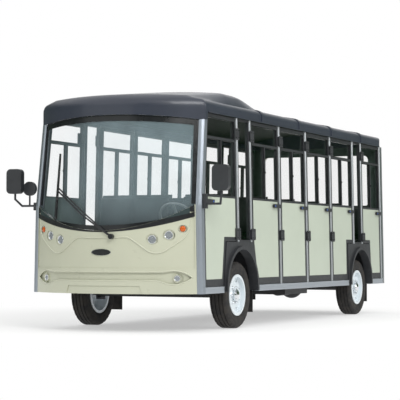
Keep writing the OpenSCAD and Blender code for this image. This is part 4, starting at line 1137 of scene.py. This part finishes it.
def pad_start(depth, width, thick):
    """An object with an evenly meshed round block, smaller than the pad by the room for swelling."""
    inset = 0.7 * SWELL_CAP
    start = Shape()
    start.box((-depth / 2 + inset, -width / 2 + inset, 0),
              (depth / 2 - inset, width / 2 - inset, thick - inset))
    mesh = bpy.data.meshes.new("pad_start")
    mesh.from_pydata([tuple(v) for v in start.v], [], start.f)
    obj = bpy.data.objects.new("pad_start", mesh)
    scene.collection.objects.link(obj)
    bevel(obj, 0.022, 3)
    remesh = obj.modifiers.new("remesh", "REMESH")
    remesh.mode = "VOXEL"
    remesh.voxel_size = VOXEL
    depsgraph = bpy.context.evaluated_depsgraph_get()
    base = bpy.data.meshes.new_from_object(obj.evaluated_get(depsgraph))
    obj.modifiers.clear()
    obj.data = base
    return obj


def swell(obj):
    """Blows the pad up as cloth under pressure, by SWELL_CAP at most."""
    rest = [v.co.copy() for v in obj.data.vertices]
    cloth = obj.modifiers.new("swell", "CLOTH")
    cloth.settings.quality = 4
    cloth.settings.use_pressure = True
    cloth.settings.uniform_pressure_force = 4
    cloth.settings.effector_weights.gravity = 0
    for f in range(1, SWELL_FRAMES + 1):
        scene.frame_set(f)
    depsgraph = bpy.context.evaluated_depsgraph_get()
    moved = obj.evaluated_get(depsgraph).to_mesh()
    for v, home, now in zip(obj.data.vertices, rest, moved.vertices):
        step = now.co - home
        if step.length > SWELL_CAP:
            step *= SWELL_CAP / step.length
        v.co = home + step
    obj.modifiers.clear()
    scene.frame_set(1)


def swollen_pad(depth, width, thick, seams):
    """A closed pad of the given size on z = 0: swollen by pressure, flat below, pinched along its seams."""
    obj = pad_start(depth, width, thick)
    swell(obj)
    base = obj.data
    for v in base.vertices:
        pinch = sum(math.exp(-((v.co.y - y) / SEAM_W) ** 2) for y in seams)
        v.co.z -= SEAM_DEPTH * min(1, pinch) * max(0, v.co.z / thick - 0.3)
        v.co.z = max(v.co.z, 0.0003)
    bpy.data.objects.remove(obj)
    base.shade_smooth()
    return base


def seat_places(front_s):
    """Placements of a row's cushion and back, each lying on its own z = 0."""
    cushion = Matrix.Translation((x_at(front_s + PAD_MID_S), 0, SEAT_Z))
    back = Matrix.Translation((x_at(front_s + SEAT_L), 0, SEAT_Z)) @ Matrix.Rotation(-BACK_LEAN, 4, "Y")
    back @= Matrix.Translation((-BACK_SET, 0, PAD_T + BACK_LIFT + BACK_H / 2))
    back @= Matrix.Rotation(math.pi / 2, 4, "Y")
    return cushion, back


pad_meshes = {}
for row, (front_s, y0, y1) in enumerate(SEATS):
    width = y1 - y0 - 2 * PAD_GAP
    count = max(1, round(width / SEAM_PITCH) - 1)
    seams = [width * ((k + 1) / (count + 1) - 0.5) for k in range(count)] if width > 0.7 else []
    cushion, back = seat_places(front_s)
    for kind, depth, thick, place in (("cushion", PAD_L, PAD_T, cushion), ("back", BACK_H, BACK_T, back)):
        key = (kind, round(width, 3))
        if key not in pad_meshes:
            pad_meshes[key] = swollen_pad(depth, width, thick, seams)
        pad = bpy.data.objects.new(f"{kind}_{row + 1}", pad_meshes[key].copy())
        pad.data.transform(Matrix.Translation((0, (y0 + y1) / 2, 0)) @ place)
        scene.collection.objects.link(pad)
        dress(pad, "leather")
        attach(pad, "chassis")
        if row == 0 and kind == "cushion":
            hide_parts("seat_pads")


# Linings on the inside of the doors, gaskets round the panes and window latches

WINDOW_MARGIN = 0.034
WINDOW_FOOT = BELT_Z + 0.020
TRANSOM_Z = 1.935
BAR_W = 0.024
LINING_OUT = (DOOR_FACE - DOOR_T - 0.003, DOOR_FACE - DOOR_T - 0.0002)
LINING_INSET = 0.014
LINING_HEAD = WINDOW_FOOT - 0.012
LINING_RIM = (0.001, -0.009)
GASKET_OUT = (DOOR_FACE - 0.0135, DOOR_FACE - 0.004)
GASKET_RIM = (0.007, 0.0006)
LATCH = [(0.011, 0.0002), (0.011, 0.006), (0.008, 0.009), (0.0, 0.0095)]


def window_panes(d, inset):
    """The three openings of a door's window as (x, z) corners, drawn in by inset."""
    r = door_rear(d) - WINDOW_MARGIN
    mid = (r + door_front(d, TRANSOM_Z) + WINDOW_MARGIN) / 2
    bar = BAR_W / 2 + inset
    lead = WINDOW_MARGIN + inset
    low, high = WINDOW_FOOT + inset, TRANSOM_Z - bar
    top_low, top_high = TRANSOM_Z + bar, DOOR_TOP - WINDOW_MARGIN - inset

    def pane(rear, f0, f1, z0, z1):
        return [(x_at(rear), z0), (x_at(f0), z0), (x_at(f1), z1), (x_at(rear), z1)]

    return [
        pane(r - inset, door_front(d, top_low) + lead, door_front(d, top_high) + lead, top_low, top_high),
        pane(r - inset, mid + bar, mid + bar, low, high),
        pane(mid - bar, door_front(d, low) + lead, door_front(d, high) + lead, low, high),
    ]


def pane_frames(side, d, rim, out):
    """Flat frames round the three openings, between two insets and two distances out of the wall."""
    shape = Shape()
    for inner, outer in zip(window_panes(d, rim[0]), window_panes(d, rim[1])):
        loops = []
        for a, b in zip(outer, inner):
            section = ((a, out[0]), (b, out[0]), (b, out[1]), (a, out[1]))
            loops.append([on_side(side, x, depth, z) for (x, z), depth in section])
        shape.sweep(loops, closed=True)
    return shape


def door_lining(side, tag, d):
    body = "door_" + tag
    lining = pane_frames(side, d, LINING_RIM, LINING_OUT)
    foot = door_outline(d, LINING_INSET, DOOR_Z0 + LINING_INSET, LINING_HEAD)
    wall_prism(lining, side, foot, *LINING_OUT)
    lining.make("lining_" + tag, "lining", body, smooth=False, slot="pale_lining")
    gasket = pane_frames(side, d, GASKET_RIM, GASKET_OUT)
    gasket.make("gasket_" + tag, "jet", body, smooth=False, slot="trim_black")
    panes = window_panes(d, 0)
    mid_x = (panes[1][1][0] + panes[2][0][0]) / 2
    spot = on_side(side, mid_x, DOOR_FACE, (WINDOW_FOOT + TRANSOM_Z) / 2)
    turned_piece("latch_" + tag, LATCH, frame_at(spot, out_of_wall(side)), 20, "jet", "trim_black", body)


each_door(door_lining)


# Blank oval badge on the nose: half its width and height, place and thickness

BADGE_Z = 0.786
PLATE_HALF = (0.104, 0.030)
PLATE_OUT = (-0.0068, -0.0025)
RIM_HALF = (0.108, 0.033)
RIM_OUT = (-0.0068, 0.0)
RIM_SHARE = 0.06
OVAL_STEPS = 48


def oval(half, scale, out):
    """Points of an oval that follows the nose."""
    points = []
    for a in turns(OVAL_STEPS):
        spot, n = nose_point(half[0] * scale * math.cos(a), BADGE_Z + half[1] * scale * math.sin(a))
        points.append(spot + n * out)
    return points


def badge():
    plate = Shape()
    plate.sweep([oval(PLATE_HALF, 1.0, out) for out in PLATE_OUT])
    plate.make("badge_plate", "jet", "chassis", slot="trim_black")
    low, high = RIM_OUT
    inner = 1.0 - RIM_SHARE
    section = ((1.0, low), (1.0, high), (inner, high), (inner, low))
    rim = Shape()
    rim.sweep([oval(RIM_HALF, scale, out) for scale, out in section], closed=True)
    rim.make("badge_rim", "chrome", "chassis", slot="alloy")


badge()


# Camera fitted to the photograph

CAMERA_YAW = math.radians(24.2128)
CAMERA_PITCH = math.radians(1.8894)
CAMERA_ROLL = math.radians(0.0844)
CAMERA_SPOT = (FRONT_X + 13.7696, 7.0973, 0.8012)
CAMERA_LENS = 138.70


def photo_camera():
    flat = math.cos(CAMERA_PITCH)
    ahead = Vector((-math.cos(CAMERA_YAW) * flat, -math.sin(CAMERA_YAW) * flat, math.sin(CAMERA_PITCH)))
    r = ahead.cross(Vector((0, 0, 1))).normalized()
    u = r.cross(ahead).normalized()
    right = math.cos(CAMERA_ROLL) * r + math.sin(CAMERA_ROLL) * u
    up = -math.sin(CAMERA_ROLL) * r + math.cos(CAMERA_ROLL) * u
    cam = bpy.data.objects.new("camera", bpy.data.cameras.new("camera"))
    cam.data.sensor_width = 36
    cam.data.lens = CAMERA_LENS
    cam.data.clip_end = 200
    turn = Matrix((right, up, -ahead)).transposed().to_4x4()
    turn.translation = Vector(CAMERA_SPOT)
    cam.matrix_world = turn
    scene.collection.objects.link(cam)
    scene.camera = cam


photo_camera()


# Studio: sky and trees round the bus, a white paper backdrop behind it, a white floor and soft lamps

TREE_TOP = (0.36, 0.62)
TREE_DARK = (0.010, 0.018, 0.012)
TREE_LIGHT = (0.10, 0.16, 0.09)
BACKDROP_WAY = (-0.911, -0.409, 0.033)
BACKDROP_EDGE = (0.80, 0.92)
FLOOR_HALF = 40
FLOOR_DROP = 0.0005
FLOOR_FADE = (2.4, 5.4)
NEAR_GLOW = 0.45
LIGHTS = (
    ("key", (9.0, 7.0, 7.5), (0.5, 0, 1.0), (6, 4), 550),
    ("fill", (10.0, -4.0, 4.5), (1.5, 0, 1.0), (8, 6), 95),
    ("side", (-1.0, 11.0, 5.0), (-0.5, 0, 1.0), (8, 4), 420),
    ("top", (0.0, 0.0, 9.0), (0, 0, 0), (9, 5), 60),
)


def sky_and_trees():
    world = bpy.data.worlds.new("studio")
    world.use_nodes = True
    scene.world = world
    nt = world.node_tree
    way = node(nt, "TexCoord", {})["Generated"]
    leaves = node(nt, "TexNoise", {"Vector": way, "Scale": 9, "Detail": 6})["Fac"]
    trees = ramp(nt, leaves, (0.35, TREE_DARK), (0.7, TREE_LIGHT))
    sky = smooth_step(nt, node(nt, "SeparateXYZ", {"Vector": way})["Z"], TREE_TOP)
    toward = node(nt, "VectorMath", {0: way, 1: BACKDROP_WAY}, operation="DOT_PRODUCT")["Value"]
    paper = smooth_step(nt, toward, BACKDROP_EDGE)
    pale = node(nt, "Math", {0: sky, 1: paper}, operation="MAXIMUM")[0]
    view = node(nt, "Mix", {"Factor": pale, "A": trees, "B": (1, 1, 1, 1)}, data_type="RGBA")["Result"]
    feed(nt, nt.nodes["Background"].inputs, {"Color": view, "Strength": 1.0})


def floor_material():
    mat, nt, bsdf = new_material("studio_floor")
    feed(nt, bsdf.inputs, {"Base Color": (0.95, 0.95, 0.95, 1), "Roughness": 0.9})
    reach = node(nt, "VectorMath", {0: object_coord(nt)}, operation="LENGTH")["Value"]
    glow = node(nt, "Emission", {"Color": (1, 1, 1, 1)})["Emission"]
    fade = smooth_step(nt, reach, FLOOR_FADE, NEAR_GLOW)
    mix = node(nt, "MixShader", {"Fac": fade, 1: bsdf.outputs["BSDF"], 2: glow})["Shader"]
    feed(nt, nt.nodes["Material Output"].inputs, {"Surface": mix})
    return mat


def white_floor():
    corners = [(-1, -1), (1, -1), (1, 1), (-1, 1)]
    mesh = bpy.data.meshes.new("studio_floor")
    mesh.from_pydata([(FLOOR_HALF * x, FLOOR_HALF * y, 0) for x, y in corners], [], [(0, 1, 2, 3)])
    floor = bpy.data.objects.new("studio_floor", mesh)
    floor.location.z = -FLOOR_DROP
    floor.data.materials.append(floor_material())
    scene.collection.objects.link(floor)


def area_lamp(name, spot, aim, size, power):
    data = bpy.data.lights.new(name, "AREA")
    data.shape = "RECTANGLE"
    data.size, data.size_y = size
    data.energy = power
    obj = bpy.data.objects.new(name, data)
    obj.location = spot
    obj.rotation_euler = (Vector(aim) - Vector(spot)).to_track_quat("-Z", "Y").to_euler()
    scene.collection.objects.link(obj)


sky_and_trees()
white_floor()
for light in LIGHTS:
    area_lamp(*light)
scene.view_settings.view_transform = "Standard"

# Soft edges and smooth shading on the solids
bevel(nodes["front_fascia"], 0.005, 3)
bevel(nodes["mirrors"], 0.010, 3)
for obj in nodes.values():
    smooth_by_angle(obj)
